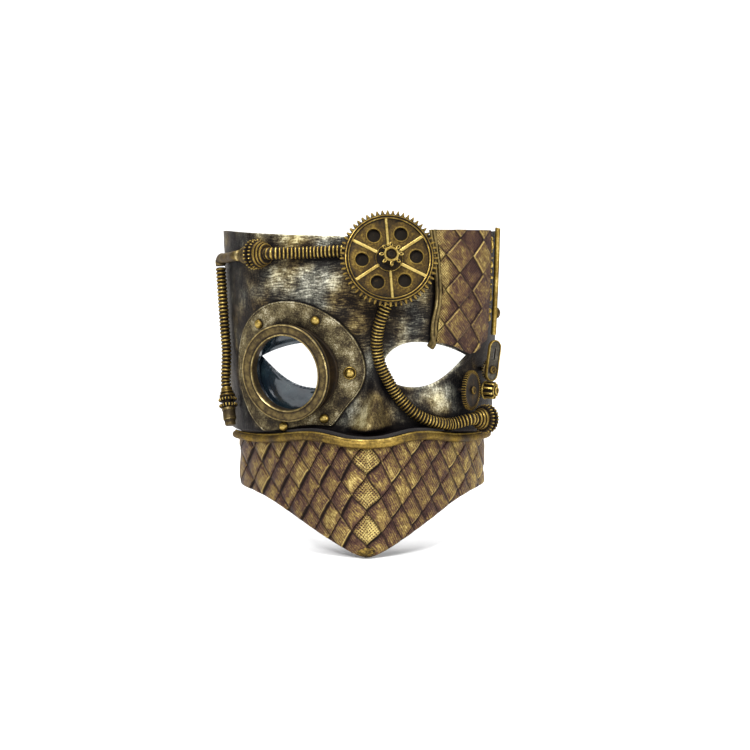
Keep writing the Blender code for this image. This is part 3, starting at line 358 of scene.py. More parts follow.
def rest_ball(x, z, radius):
    """Where a ball of this radius comes to rest against the face, moving straight back at (x, z)."""
    nearest = over_face(x, z, radius)[1]
    for ring in (0.4, 0.8):
        for turn in np.arange(12) * math.tau / 12:
            dx, dz = ring * radius * math.cos(turn), ring * radius * math.sin(turn)
            if abs(x + dx) < half_width(z) - 0.001:
                surface = over_face(x + dx, z + dz, 0.0)[1]
                nearest = min(nearest, surface - radius * math.sqrt(1 - ring * ring))
    return np.array((x, nearest, z))


def lip_z(x):
    return LIP_Z + LIP_WAVE * bump(np.abs(x), LIP_WAVE_X, LIP_WAVE_REACH) + 0.001 * bump(x, 0, 0.008)


def top_z(x):
    return TOP_Z + TOP_CORNER_RISE * (x / HALF_WIDTH) ** 2


def column_angle(u):
    share = 2 * u - 1
    return (CENTRE_SPACING * share + (1 - CENTRE_SPACING) * share**3) * math.pi / 2


def chin_point(angle, z):
    """The chin panel's outer surface: a prow whose ridge leans forward towards the tip."""
    across = np.sin(angle)
    depth = CHIN_REAR_Y - CHIN_TOP_Y + CHIN_LEAN * np.maximum(0.0, LIP_Z - z)
    share = np.maximum(0.0, 1 - np.abs(across) ** CHIN_SHARPNESS) ** CHIN_FULLNESS
    return stacked(CHIN_HALF_WIDTH * across, CHIN_REAR_Y - depth * share, z)


def chin_normal(angle, z):
    return surface_normal(chin_point, angle, z, 0.01)


def chin_edge_z(x):
    rounding = 0.008
    rise = 0.56 * (np.hypot(x, rounding) - rounding)
    flatten = 0.0078 * np.maximum(0.0, (np.abs(x) - 0.050) / 0.030) ** 2
    return CHIN_TIP_Z + rise - flatten


def lumps(points, size, seed=0.0):
    """Smooth noise from -1 to 1 at each point, with features about this big."""
    flat = np.asarray(points, float).reshape(-1, 3) / size + seed
    values = [noise.noise(Vector(row)) for row in flat]
    return np.array(values).reshape(np.shape(points)[:-1])


# ---------------------------------------------------------------- meshes from arrays

class Raw:
    """Points, faces, and named values at the points, before they become an object."""

    def __init__(self, points, faces, wear=0.5, **values):
        self.points = np.asarray(points, float).reshape(-1, 3)
        self.faces = faces
        self.values = {"wear": wear, **values}
        for name, value in self.values.items():
            value = np.asarray(value, float)
            if value.ndim == 0:
                value = np.full(len(self.points), float(value))
            self.values[name] = value.reshape(len(self.points), -1)


def merged(*raws):
    """Several pieces as one mesh. They carry the same named values."""
    points, faces, start = [], [], 0
    for raw in raws:
        points.append(raw.points)
        faces += [tuple(index + start for index in face) for face in raw.faces]
        start += len(raw.points)
    values = {name: np.concatenate([raw.values[name] for raw in raws]) for name in raws[0].values}
    return Raw(np.concatenate(points), faces, **values)


def carried(points, where):
    """Points moved by a matrix."""
    turn = np.array(where)
    return points @ turn[:3, :3].T + turn[:3, 3]


def placed(raw, where):
    """The same piece, moved by a matrix."""
    return Raw(carried(raw.points, where), raw.faces, **raw.values)


def set_values(mesh, values):
    for name, value in values.items():
        kind = "FLOAT" if value.shape[1] == 1 else "FLOAT_VECTOR"
        layer = mesh.attributes.new(name, kind, "POINT")
        layer.data.foreach_set("value" if kind == "FLOAT" else "vector", value.astype(np.float32).ravel())


def link(made):
    bpy.context.scene.collection.objects.link(made)
    return made


def evaluated_mesh(made):
    """A new mesh of the object as it stands, with its modifiers applied."""
    bpy.context.view_layer.update()
    return bpy.data.meshes.new_from_object(made.evaluated_get(bpy.context.evaluated_depsgraph_get()))


def points_and_faces(shape):
    """A bmesh's points and faces, as arrays, and the bmesh is freed."""
    points = np.array([vertex.co for vertex in shape.verts])
    faces = [tuple(vertex.index for vertex in face.verts) for face in shape.faces]
    shape.free()
    return points, faces


def make(name, raw, finish, where=None, smooth_deg=38):
    """An object from a raw piece, with smooth shading except at sharp edges."""
    mesh = bpy.data.meshes.new(name)
    mesh.from_pydata(raw.points.tolist(), [], raw.faces)
    set_values(mesh, raw.values)
    shape = bmesh.new()
    shape.from_mesh(mesh)
    bmesh.ops.recalc_face_normals(shape, faces=shape.faces[:])
    shape.to_mesh(mesh)
    shape.free()
    mesh.shade_smooth()
    mesh.set_sharp_from_angle(angle=math.radians(smooth_deg))
    made = link(bpy.data.objects.new(name, mesh))
    if where is not None:
        made.matrix_world = where
    mesh.materials.append(finish)
    return made


def grid_faces(rows, columns, wrap=False, start=0, flip=False):
    """Quads of a grid of points, row by row. With wrap, the last column joins the first."""
    faces = []
    for row in range(rows - 1):
        for column in range(columns if wrap else columns - 1):
            right = (column + 1) % columns
            a = start + row * columns + column
            b = start + row * columns + right
            face = (a, b, b + columns, a + columns)
            faces.append(face[::-1] if flip else face)
    return faces


def slab(outer, inner, **values):
    """A closed sheet between two grids of points of the same shape."""
    rows, columns = outer.shape[:2]
    count = rows * columns
    faces = grid_faces(rows, columns) + grid_faces(rows, columns, start=count, flip=True)
    rim = list(range(columns))
    rim += [row * columns + columns - 1 for row in range(1, rows)]
    rim += [(rows - 1) * columns + column for column in range(columns - 2, -1, -1)]
    rim += [row * columns for row in range(rows - 2, 0, -1)]
    for first, second in zip(rim, rim[1:] + rim[:1]):
        faces.append((second, first, first + count, second + count))
    points = np.concatenate([outer.reshape(-1, 3), inner.reshape(-1, 3)])
    return Raw(points, faces, **values)


def rings(loops, closed=False, **values):
    """Walls from loop to loop. Closed: the last loop joins the first, otherwise the ends are capped."""
    loops = np.asarray(loops, float)
    count, around = loops.shape[:2]
    faces = grid_faces(count, around, wrap=True)
    last = (count - 1) * around
    if closed:
        for i in range(around):
            j = (i + 1) % around
            faces.append((last + i, last + j, j, i))
    else:
        faces.append(tuple(range(around))[::-1])
        faces.append(tuple(last + i for i in range(around)))
    return Raw(loops, faces, **values)


def near(radius, height, *rows):
    """Profile points as (millimetres out, millimetres up, wear) from one radius and height."""
    return [(radius + out * MM, height + up * MM, wear) for out, up, wear in rows]


def lathe(profile, steps=48):
    """A solid turned about local Z from (radius, height, wear) points, closed or ending on the axis."""
    turns = np.arange(steps) * math.tau / steps
    closed = profile[0][0] > 0 and profile[-1][0] > 0
    body = [entry for entry in profile if entry[0] > 0]
    loops = [stacked(r * np.cos(turns), r * np.sin(turns), h) for r, h, _ in body]
    wear = np.repeat([w for _, _, w in body], steps)
    return rings(loops, closed, wear=wear)


def outline_points(teeth, root, tip, shape):
    """A toothed outline: a tooth is a row of (share of a pitch, share of its height)."""
    points = []
    for tooth in range(teeth):
        for share, high in shape:
            turn = math.tau / teeth * (tooth + share)
            radius = root + (tip - root) * high
            points.append((radius * math.cos(turn), radius * math.sin(turn), high))
    return np.array(points)


POINTED = ((-0.5, 0), (-0.36, 0.06), (-0.12, 0.88), (0.0, 1), (0.12, 0.88), (0.36, 0.06))
BLUNT = (
    (-0.38, 0), (-0.28, 0.15), (-0.20, 0.85), (-0.12, 1), (0.12, 1), (0.20, 0.85), (0.28, 0.15), (0.38, 0),
)


def toothed(teeth, levels, bore, shape=POINTED):
    """A toothed ring about local Z: levels are (height, root radius, tip radius, wear), from low to high."""
    loops, wear = [], []
    for height, root, tip, worn in levels:
        points = outline_points(teeth, root, tip, shape)
        high = points[:, 2]
        loops.append(stacked(points[:, 0], points[:, 1], height))
        wear.append(worn * high - 0.3 * (1 - high) if tip > root else np.full(len(points), worn))
    for height in (levels[-1][0], levels[0][0]):
        points = outline_points(teeth, bore, bore, shape)
        loops.append(stacked(points[:, 0], points[:, 1], height))
        wear.append(np.full(len(points), 0.1))
    return rings(loops, closed=True, wear=np.concatenate(wear))


def smooth_path(points, spacing):
    """A smooth line through the points, with its own points this far apart."""
    points = [np.asarray(point, float) for point in points]
    padded = [2 * points[0] - points[1], *points, 2 * points[-1] - points[-2]]
    path = []
    for a, b, c, d in zip(padded, padded[1:], padded[2:], padded[3:]):
        span = np.linalg.norm(c - b)
        leaving, arriving = unit(c - a) * span, unit(d - b) * span
        for t in np.arange(12) / 12:
            bend = leaving * t * (1 - t) ** 2 - arriving * t * t * (1 - t)
            path.append(b + (c - b) * t * t * (3 - 2 * t) + bend)
    path = np.array([*path, points[-1]])
    along = np.concatenate([[0], np.cumsum(np.linalg.norm(np.diff(path, axis=0), axis=1))])
    count = max(2, int(along[-1] / spacing))
    wanted = np.linspace(0, along[-1], count + 1)
    return np.stack([np.interp(wanted, along, path[:, axis]) for axis in range(3)], axis=-1)


def sweep(path, radius, sides=20, wear=0.5, section=None):
    """A tube along a path, with a radius and a wear for each point. section scales the radius around it."""
    count = len(path)
    radius = np.broadcast_to(radius, count)
    along = unit(np.gradient(path, axis=0))
    side = unit(np.cross(along[0], (0.3, 0.2, 1.0)))
    loops = []
    turns = np.arange(sides) * math.tau / sides
    shape = np.ones(sides) if section is None else section(turns)
    for index in range(count):
        side = unit(side - along[index] * (side @ along[index]))
        other = np.cross(along[index], side)
        spokes = np.cos(turns)[:, None] * side + np.sin(turns)[:, None] * other
        loops.append(path[index] + spokes * (radius[index] * shape)[:, None])
    return rings(loops, wear=np.repeat(np.broadcast_to(wear, count), sides))


def ribbed(points, radius, pitch):
    """A corrugated hose: bright rounded ribs with dark grooves between them."""
    path = smooth_path(points, pitch / 8)
    for _ in range(60):
        path[1:-1] = (path[:-2] + 2 * path[1:-1] + path[2:]) / 4
    phase = np.arange(len(path)) * math.tau / 8
    ridge = (0.5 - 0.5 * np.cos(phase)) ** 0.7
    return sweep(path, radius * (0.78 + 0.25 * ridge), 22, 0.95 * ridge**2.2 - 0.15)


def flat_shape(outline, holes, thick, base, bevel=0.00018):
    """A flat outline with holes, thickened along local Z from base upwards, with bevelled edges."""
    line = bpy.data.curves.new("outline", "CURVE")
    line.dimensions = "2D"
    line.fill_mode = "BOTH"
    line.extrude = thick / 2 - bevel
    line.bevel_depth = bevel
    line.bevel_resolution = 1
    line.offset = -bevel
    for loop in (outline, *holes):
        spline = line.splines.new("POLY")
        spline.points.add(len(loop) - 1)
        for index, point in enumerate(loop):
            spline.points[index].co = (point[0], point[1], 0, 1)
        spline.use_cyclic_u = True
    helper = link(bpy.data.objects.new("outline", line))
    mesh = evaluated_mesh(helper)
    bpy.data.objects.remove(helper)
    shape = bmesh.new()
    shape.from_mesh(mesh)
    bmesh.ops.remove_doubles(shape, verts=shape.verts[:], dist=0.000002)
    points, faces = points_and_faces(shape)
    points[:, 2] += base + thick / 2
    return Raw(points, faces)


def circle_points(radius, sides, centre=(0, 0)):
    turns = np.arange(sides) * math.tau / sides
    return np.stack([centre[0] + radius * np.cos(turns), centre[1] + radius * np.sin(turns)], axis=-1)


def stadium(half, low, high, steps=12):
    """A bar with round ends, whose end centres are at low and high along local Y."""
    points = []
    for centre, start in ((high, 0), (low, math.pi)):
        for step in range(steps + 1):
            turn = start + math.pi * step / steps
            points.append((half * math.cos(turn), centre + half * math.sin(turn)))
    return points


def axis_frame(origin, axis, up=(0, 0, 1)):
    """A placement whose local +Z lies along axis and whose local +Y is as near to up as it can be."""
    z = Vector(axis).normalized()
    x = Vector(up).cross(z).normalized()
    y = z.cross(x)
    return Matrix.Translation(Vector(origin)) @ Matrix((x, y, z)).transposed().to_4x4()


def facing_axis(yaw, pitch):
    return Vector((math.sin(yaw) * math.cos(pitch), -math.cos(yaw) * math.cos(pitch), math.sin(pitch)))


def pin_frame(at, yaw=None):
    angle_deg, z, out = at
    angle = math.radians(angle_deg)
    normal = surface_normal(plain_face, angle, z)
    axis = normal if yaw is None else facing_axis(yaw, 0)
    return axis_frame(plain_face(angle, z) + normal * out, axis)


EYE_AXIS = facing_axis(EYE_YAW, EYE_PITCH)
EYE_CENTRE = over_face(EYE_X, EYE_Z, 0.0, plain_face)
EYE_FRAME = axis_frame(EYE_CENTRE, EYE_AXIS)


# ---------------------------------------------------------------- materials

class Graph:
    """A small builder of material nodes: a value may be a number, a tuple or another node's output."""

    def __init__(self, name):
        self.material = bpy.data.materials.new(name)
        self.material.use_nodes = True
        self.tree = self.material.node_tree
        self.shader = self.tree.nodes["Principled BSDF"]
        self.coords = self.node("ShaderNodeTexCoord").outputs["Object"]

    def node(self, kind, inputs=(), **settings):
        made = self.tree.nodes.new(kind)
        for key, value in settings.items():
            setattr(made, key, value)
        for key, value in dict(inputs).items():
            self.feed(made.inputs[key], value)
        return made

    def feed(self, socket, value):
        if isinstance(value, bpy.types.NodeSocket):
            self.tree.links.new(value, socket)
        else:
            socket.default_value = value

    def math(self, operation, first, second=0.5, third=0.5):
        return self.node("ShaderNodeMath", {0: first, 1: second, 2: third}, operation=operation).outputs[0]

    def added(self, value, weight, base):
        """base + weight * value"""
        return self.math("MULTIPLY_ADD", value, weight, base)

    def swing(self, scale, detail, rough=0.55, coords=None):
        """Noise from -0.5 to 0.5."""
        return self.math("SUBTRACT", self.noise(scale, detail, coords, rough), 0.5)

    def clamp(self, value):
        return self.node("ShaderNodeClamp", {"Value": value}).outputs[0]

    def span(self, value, low, high, to_low=0.0, to_high=1.0):
        inputs = {"Value": value, "From Min": low, "From Max": high, "To Min": to_low, "To Max": to_high}
        return self.node("ShaderNodeMapRange", inputs).outputs[0]

    def stretched(self, coords, scale, turn=(0, 0, 0)):
        return self.node("ShaderNodeMapping", {"Vector": coords, "Scale": scale, "Rotation": turn}).outputs[0]

    def noise(self, scale, detail=3.0, coords=None, rough=0.55):
        inputs = {"Vector": coords or self.coords, "Scale": scale, "Detail": detail, "Roughness": rough}
        return self.node("ShaderNodeTexNoise", inputs).outputs["Fac"]

    def cells(self, scale, feature="F1"):
        inputs = {"Vector": self.coords, "Scale": scale}
        return self.node("ShaderNodeTexVoronoi", inputs, feature=feature).outputs["Distance"]

    def value(self, name, vector=False):
        found = self.node("ShaderNodeAttribute", attribute_name=name)
        return found.outputs["Vector" if vector else "Fac"]

    def parts(self, vector):
        return self.node("ShaderNodeSeparateXYZ", {0: vector}).outputs

    def ramp(self, value, *stops):
        made = self.node("ShaderNodeValToRGB", {"Fac": value})
        ramp = made.color_ramp
        while len(ramp.elements) < len(stops):
            ramp.elements.new(0.5)
        for element, (at, colour) in zip(ramp.elements, stops):
            element.position = at
            element.color = (*colour, 1)
        return made.outputs["Color"]

    def mix(self, share, first, second):
        made = self.node("ShaderNodeMix", data_type="RGBA")
        self.feed(made.inputs["Factor"], share)
        colour_inputs = [socket for socket in made.inputs if socket.type == "RGBA"]
        for socket, value in zip(colour_inputs, (first, second)):
            self.feed(socket, (*value, 1) if isinstance(value, tuple) else value)
        return [socket for socket in made.outputs if socket.type == "RGBA"][0]

    def cavity(self, distance):
        """1 in the open, falling towards 0 in a hollow of this size and near other parts: the mask for
        painted shade.
        """
        return self.node("ShaderNodeAmbientOcclusion", {"Distance": distance}, samples=6).outputs["AO"]

    def edges(self):
        """Bright along convex edges of a fine mesh."""
        return self.span(self.node("ShaderNodeNewGeometry").outputs["Pointiness"], 0.51, 0.60)

    def bump(self, height, distance, strength):
        made = self.node("ShaderNodeBump", {"Height": height, "Distance": distance, "Strength": strength})
        self.feed(self.shader.inputs["Normal"], made.outputs["Normal"])

    def finish(self, colour, roughness, metallic, **more):
        self.feed(self.shader.inputs["Base Color"], colour)
        self.feed(self.shader.inputs["Roughness"], roughness)
        self.feed(self.shader.inputs["Metallic"], metallic)
        for key, value in more.items():
            self.feed(self.shader.inputs[key.replace("_", " ")], value)
        return self.material


# The black base of the rubbed metals, which is also the colour of the painted shade in their recesses.
BLACK_BASE_AND_SHADE = (0.0050, 0.0042, 0.0055)
EDGE_TINT = (0.55, 0.45, 0.28, 1)
GOLD = ((0.062, 0.038, 0.012), (0.280, 0.186, 0.042), (0.66, 0.50, 0.16))
BRONZE = ((0.048, 0.034, 0.018), (0.180, 0.132, 0.052), (0.54, 0.43, 0.20))
SILVER = ((0.050, 0.045, 0.038), (0.17, 0.155, 0.115), (0.70, 0.66, 0.52))
BROWN = ((0.014, 0.009, 0.006), (0.060, 0.040, 0.020), (0.26, 0.20, 0.10))


def antique_metal(name, tones, grain, blotch):
    """Black-based cast metal, rubbed with gold: bright where worn, and darkened as painted shade in its
    recesses and where other parts come close.
    """
    g = Graph(name)
    fine = g.noise(grain, 4.0, rough=0.65)
    broad = g.noise(blotch, 3.0)
    level = g.added(g.math("SUBTRACT", fine, 0.5), 1.1, g.value("wear"))
    level = g.added(g.math("SUBTRACT", broad, 0.5), 1.0, level)
    level = g.added(g.edges(), 0.25, level)
    # Painted shade: the level drops in recesses and near other parts, by ambient occlusion.
    hollow = g.math("SUBTRACT", 1.0, g.cavity(0.0026))
    level = g.added(hollow, -0.85, level)
    level = g.clamp(g.span(level, -0.10, 1.20))
    colour = g.ramp(level, (0.0, BLACK_BASE_AND_SHADE), *zip((0.30, 0.66, 1.0), tones))
    g.bump(g.added(broad, 1.5, fine), 0.00014, 0.8)
    rough, metal = g.span(level, 0.0, 0.9, 0.58, 0.34), g.span(level, 0.05, 0.6, 0.30, 0.90)
    return g.finish(colour, rough, metal, Specular_Tint=EDGE_TINT)


def face_metal(name):
    """The shell's dry-brushed bronze: black, mottled with brown gold, and silvery where it was polished and
    where highlights are painted on, with painted shade in its recesses and around the parts that stand on it.
    """
    g = Graph(name)
    surface = g.value("surface", vector=True)
    bend = g.node("ShaderNodeTexNoise", {"Vector": surface, "Scale": 38.0, "Detail": 2.0}).outputs["Color"]
    bend = g.node("ShaderNodeVectorMath", {0: bend, 1: (0.5, 0.5, 0.5)}, operation="SUBTRACT").outputs[0]
    bend = g.node("ShaderNodeVectorMath", {0: bend, "Scale": 0.012}, operation="SCALE").outputs[0]
    surface = g.node("ShaderNodeVectorMath", {0: surface, 1: bend}, operation="ADD").outputs[0]
    flat = g.noise(1.0, 6.0, g.stretched(surface, (150, 950, 1), (0, 0, -0.35)), 0.66)
    upright = g.noise(1.0, 6.0, g.stretched(surface, (950, 130, 1), (0, 0, 0.25)), 0.66)
    streak = g.math("SUBTRACT", g.mix(g.value("upright"), flat, upright), 0.5)
    fine = g.swing(1000.0, 4.0)
    patch = g.swing(75.0, 5.0, 0.62)
    # Painted shade in recesses and around the hoses, gears and plate, by ambient occlusion.
    hollow = g.math("SUBTRACT", g.cavity(0.007), 1.0)
    level = g.added(streak, g.span(g.value("upright"), 0.0, 1.0, 1.9, 0.7), g.value("wear"))
    level = g.added(patch, 2.1, level)
    level = g.added(fine, 0.9, level)
    level = g.clamp(g.added(hollow, 1.1, level))
    cool = g.ramp(
        level, (0.0, (0.0045, 0.0050, 0.0070)), (0.30, (0.036, 0.036, 0.034)), (0.62, (0.17, 0.165, 0.13)),
        (1.0, (0.78, 0.76, 0.62)),
    )
    warm = g.ramp(
        level, (0.0, (0.0060, 0.0045, 0.0050)), (0.30, (0.058, 0.040, 0.020)), (0.62, (0.22, 0.165, 0.065)),
        (1.0, (0.70, 0.62, 0.34)),
    )
    tone = g.noise(28.0, 3.0)
    colour = g.mix(g.span(tone, 0.40, 0.60), warm, cool)
    g.bump(g.added(streak, 1.6, fine), 0.00020, 0.9)
    rough, metal = g.span(level, 0.0, 1.0, 0.46, 0.45), g.span(level, 0.0, 0.6, 0.25, 0.45)
    return g.finish(colour, rough, metal, Specular_Tint=EDGE_TINT, Specular_IOR_Level=0.22)


def woven_material(name):
    """Moulded leather weave: purple-brown strips rubbed with gold, finely hatched, with painted shade in the
    grooves and beside raised tile edges.
    """
    g = Graph(name)
    lattice = g.value("weave", vector=True)
    across, along, _ = g.parts(lattice)
    cycles = math.tau / HATCH_PITCH
    one = g.math("SINE", g.math("MULTIPLY", along, cycles))
    other = g.math("SINE", g.math("MULTIPLY", across, cycles))
    crossed = g.math("MAXIMUM", one, other)
    hatch = g.mix(g.value("crossing"), one, crossed)
    fine = g.swing(900.0, 4.0, 0.65)
    broad = g.swing(150.0, 4.0, 0.65)
    scuff = g.swing(1.0, 4.0, 0.65, g.stretched(lattice, (260, 1300, 1)))
    gilding = g.added(broad, 1.2, g.value("gilding"))
    gilding = g.added(fine, 0.9, gilding)
    gilding = g.added(scuff, 1.3, gilding)
    gilding = g.added(hatch, g.span(g.value("crossing"), 0.0, 1.0, 0.07, 0.34), gilding)
    gilding = g.clamp(gilding)
    colour = g.ramp(
        gilding, (0.0, (0.022, 0.009, 0.011)), (0.34, (0.082, 0.042, 0.030)), (0.62, (0.225, 0.150, 0.046)),
        (1.0, (0.60, 0.47, 0.17)),
    )
    # Gold along the tile edges: worn gilding, partly a painted highlight on one side of the raised tiles.
    edge = g.added(fine, 0.9, g.value("wear"))
    colour = g.mix(g.span(edge, 0.25, 1.0), colour, (0.50, 0.37, 0.12))
    # Painted shade: near black in the grooves, beside raised tile edges and where other parts come close.
    shade = g.math("MULTIPLY", g.value("groove"), g.span(g.cavity(0.0022), 0.25, 0.92, 0.10, 1.0))
    colour = g.mix(g.clamp(shade), (0.004, 0.002, 0.004), colour)
    height = g.added(hatch, g.span(g.value("crossing"), 0.0, 1.0, 0.30, 1.1), fine)
    g.bump(g.math("ADD", height, scuff), 0.00020, 0.9)
    rough, metal = g.span(gilding, 0.0, 1.0, 0.55, 0.38), g.span(gilding, 0.1, 0.8, 0.05, 0.60)
    return g.finish(colour, rough, metal, Specular_Tint=EDGE_TINT, Specular_IOR_Level=0.3)


def plate_metal(name):
    """The eye plate: bronze with a fine leathery grain, with painted shade in its recesses and round the
    parts on it.
    """
    g = Graph(name)
    grain = g.span(g.cells(950.0, "DISTANCE_TO_EDGE"), 0.0, 0.35)
    broad = g.swing(90.0, 4.0, 0.6)
    fine = g.swing(1100.0, 4.0)
    level = g.added(grain, 0.22, g.value("wear"))
    level = g.added(broad, 1.9, level)
    level = g.added(fine, 1.0, level)
    # Painted shade near the rivets, barrel and recesses, by ambient occlusion.
    level = g.clamp(g.added(g.math("SUBTRACT", g.cavity(0.005), 1.0), 0.9, level))
    colour = g.ramp(
        level, (0.0, (0.006, 0.005, 0.006)), (0.30, (0.045, 0.034, 0.020)), (0.62, (0.19, 0.155, 0.080)),
        (1.0, (0.66, 0.60, 0.42)),
    )
    g.bump(g.added(grain, 0.7, fine), 0.00016, 0.9)
    rough, metal = g.span(level, 0.0, 1.0, 0.52, 0.36), g.span(level, 0.0, 0.6, 0.35, 0.80)
    return g.finish(colour, rough, metal, Specular_Tint=EDGE_TINT)


def gloss_black(name):
    """The glossy blue-black paint inside the eyepiece, with paler greenish patches painted in as reflections.
    """
    g = Graph(name)
    broad = g.noise(60.0, 2.0)
    fine = g.noise(420.0, 3.0)
    # The paler greenish tone is a painted reflection.
    blue, painted_reflection = (0.016, 0.030, 0.040), (0.05, 0.075, 0.075)
    colour = g.ramp(broad, (0.30, (0.006, 0.008, 0.016)), (0.62, blue), (0.80, painted_reflection))
    g.bump(g.added(broad, 3.0, fine), 0.0003, 0.6)
    return g.finish(colour, g.span(fine, 0.3, 0.7, 0.10, 0.24), 0.25, Coat_Weight=0.8, Coat_Roughness=0.08)


def lining(name):
    """The unpainted inside of the moulding: matt black-brown with a slightly rough cast skin."""
    g = Graph(name)
    fine = g.noise(1300.0, 4.0)
    broad = g.noise(70.0, 4.0)
    brown, dusty = (0.026, 0.022, 0.021), (0.050, 0.042, 0.036)
    colour = g.ramp(broad, (0.25, (0.012, 0.011, 0.012)), (0.60, brown), (0.85, dusty))
    g.bump(g.added(broad, 1.5, fine), 0.00020, 0.7)
    return g.finish(colour, g.span(fine, 0.3, 0.7, 0.55, 0.80), 0.0)


def foam_material(name):
    """Closed-cell black foam with open pores at its skin."""
    g = Graph(name)
    pores = g.span(g.cells(1500.0), 0.0, 0.55)
    dark, pale = (0.018, 0.018, 0.019), (0.038, 0.037, 0.038)
    colour = g.ramp(pores, (0.0, (0.004, 0.004, 0.004)), (0.45, dark), (1.0, pale))
    g.bump(g.added(g.noise(300.0, 3.0), 0.6, pores), 0.00035, 0.9)
    return g.finish(colour, 0.92, 0.0, Sheen_Weight=0.25, Sheen_Roughness=0.6)


def elastic_material(name):
    """Knitted black elastic: fine stitches across the lengthwise ribs."""
    g = Graph(name)
    along, across, _ = g.parts(g.value("weave", vector=True))
    stitch = g.math("SINE", g.math("MULTIPLY", along, math.tau / STITCH_PITCH))
    cord = g.math("SINE", g.math("MULTIPLY", across, math.tau / CORD_PITCH))
    knit = g.math("MULTIPLY", g.math("ADD", stitch, 1.0), g.math("ADD", cord, 1.0))
    fuzz = g.noise(1600.0, 3.0)
    colour = g.ramp(
        g.added(fuzz, 0.5, g.math("MULTIPLY", knit, 0.2)),
        (0.1, (0.004, 0.004, 0.005)), (0.6, (0.016, 0.016, 0.018)), (1.0, (0.045, 0.045, 0.050)),
    )
    g.bump(g.added(knit, 0.5, fuzz), 0.00022, 0.9)
    return g.finish(colour, 0.82, 0.0, Sheen_Weight=0.35, Sheen_Roughness=0.5)


FINISH = {
    "gold": antique_metal("rubbed_gold", GOLD, 700.0, 110.0),
    "bronze": antique_metal("rubbed_bronze", BRONZE, 600.0, 90.0),
    "silver": antique_metal("rubbed_silver", SILVER, 500.0, 90.0),
    "wall": antique_metal("barrel_brown", BROWN, 450.0, 60.0),
    "face": face_metal("brushed_face"),
    "plate": plate_metal("leathery_plate"),
    "woven": woven_material("woven_leather"),
    "gloss": gloss_black("gloss_black"),
    "lining": lining("moulding_inside"),
    "foam": foam_material("black_foam"),
    "elastic": elastic_material("black_elastic"),
}


def piece(name, raw, finish, body="mask", stands_for=(), where=None, smooth_deg=38):
    """A finished piece that rides on a body and stands for its CAD nodes."""
    made = make(name, raw, FINISH[finish], where, smooth_deg)
    return registered(made, body, stands_for)


def registered(made, body, stands_for):
    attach(made, body)
    if stands_for:
        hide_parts(*stands_for)
    return made


# ---------------------------------------------------------------- the moulded face

def eye_outline(side):
    """The almond eye opening as four Bezier spans: outer corner, top, inner corner, bottom."""
    spans = (
        ((0.0645, 0.0050), (0.0550, 0.0108), (0.0430, 0.0145), (0.0310, 0.0145)),
        ((0.0310, 0.0145), (0.0200, 0.0145), (0.0112, 0.0070), (0.0112, -0.0015)),
        ((0.0112, -0.0015), (0.0112, -0.0080), (0.0190, -0.0142), (0.0310, -0.0142)),
        ((0.0310, -0.0142), (0.0460, -0.0142), (0.0550, -0.0045), (0.0645, 0.0050)),
    )
    points = []
    for span in np.array(spans):
        for t in np.arange(EYE_STEPS) / EYE_STEPS:
            weights = np.array(((1 - t) ** 3, 3 * t * (1 - t) ** 2, 3 * t * t * (1 - t), t**3))
            points.append(weights @ span)
    return np.array(points) * (side, 1)


def eye_distance(x, z):
    """Distance from the nearer eye opening's edge, as seen from the front."""
    outline = eye_outline(1)
    flat = np.stack([np.abs(x), z], axis=-1).reshape(-1, 1, 2)
    nearest = np.full(len(flat), 1.0)
    for start in range(0, len(flat), 5000):
        part = flat[start:start + 5000]
        nearest[start:start + 5000] = np.linalg.norm(part - outline, axis=-1).min(axis=1)
    return nearest.reshape(np.shape(x))


def eye_cutter(side):
    facing = Matrix.Translation((0, 0.050, 0)) @ Matrix.Rotation(math.pi / 2, 4, "X")
    outline = eye_outline(side)
    loops = [stacked(outline[:, 0], outline[:, 1], height) for height in (0.0, 0.120)]
    cutter = make("eye_cutter", rings(loops), FINISH["lining"], facing)
    cutter.hide_render = True
    return cutter


def carved(made, cutters):
    """Cuts the eye openings out of a mesh, once and for all, and removes the cutters."""
    for cutter in cutters:
        modifier = made.modifiers.new("opening", "BOOLEAN")
        modifier.object = cutter
        modifier.operation = "DIFFERENCE"
        modifier.solver = "EXACT"
    mesh = evaluated_mesh(made)
    made.modifiers.clear()
    made.data = mesh
    for cutter in cutters:
        bpy.data.objects.remove(cutter)
    return made


def shell_grid():
    """The outer surface from its shelf, which runs forward to the chin panel, up to its top edge."""
    columns = int(GIRTH / SHELL_STEP)
    angle = column_angle(np.linspace(0, 1, columns))
    x = face_point(angle, np.full(columns, LIP_Z))[:, 0]
    wall_foot = lip_z(x) + SHELF_RISE + SHELF_FILLET
    front = chin_point(angle, LIP_Z)
    front[:, 2] = lip_z(front[:, 0]) + SHELF_RISE
    wall = face_point(angle, wall_foot)
    rows = []
    for share in np.linspace(1, 0, 12)[:-1]:
        bent = wall + (front - wall) * share
        bent[:, 2] = front[:, 2] + (wall_foot - front[:, 2]) * (1 - share) ** 3
        rows.append(bent)
    for share in np.linspace(0, 1, int(SHELL_HEIGHT / SHELL_STEP)):
        rows.append(face_point(angle, wall_foot + (top_z(x) - wall_foot) * share))
    return np.array(rows)


def grid_normals(grid):
    across = np.gradient(grid, axis=1)
    upward = np.gradient(grid, axis=0)
    return unit(np.cross(across, upward))


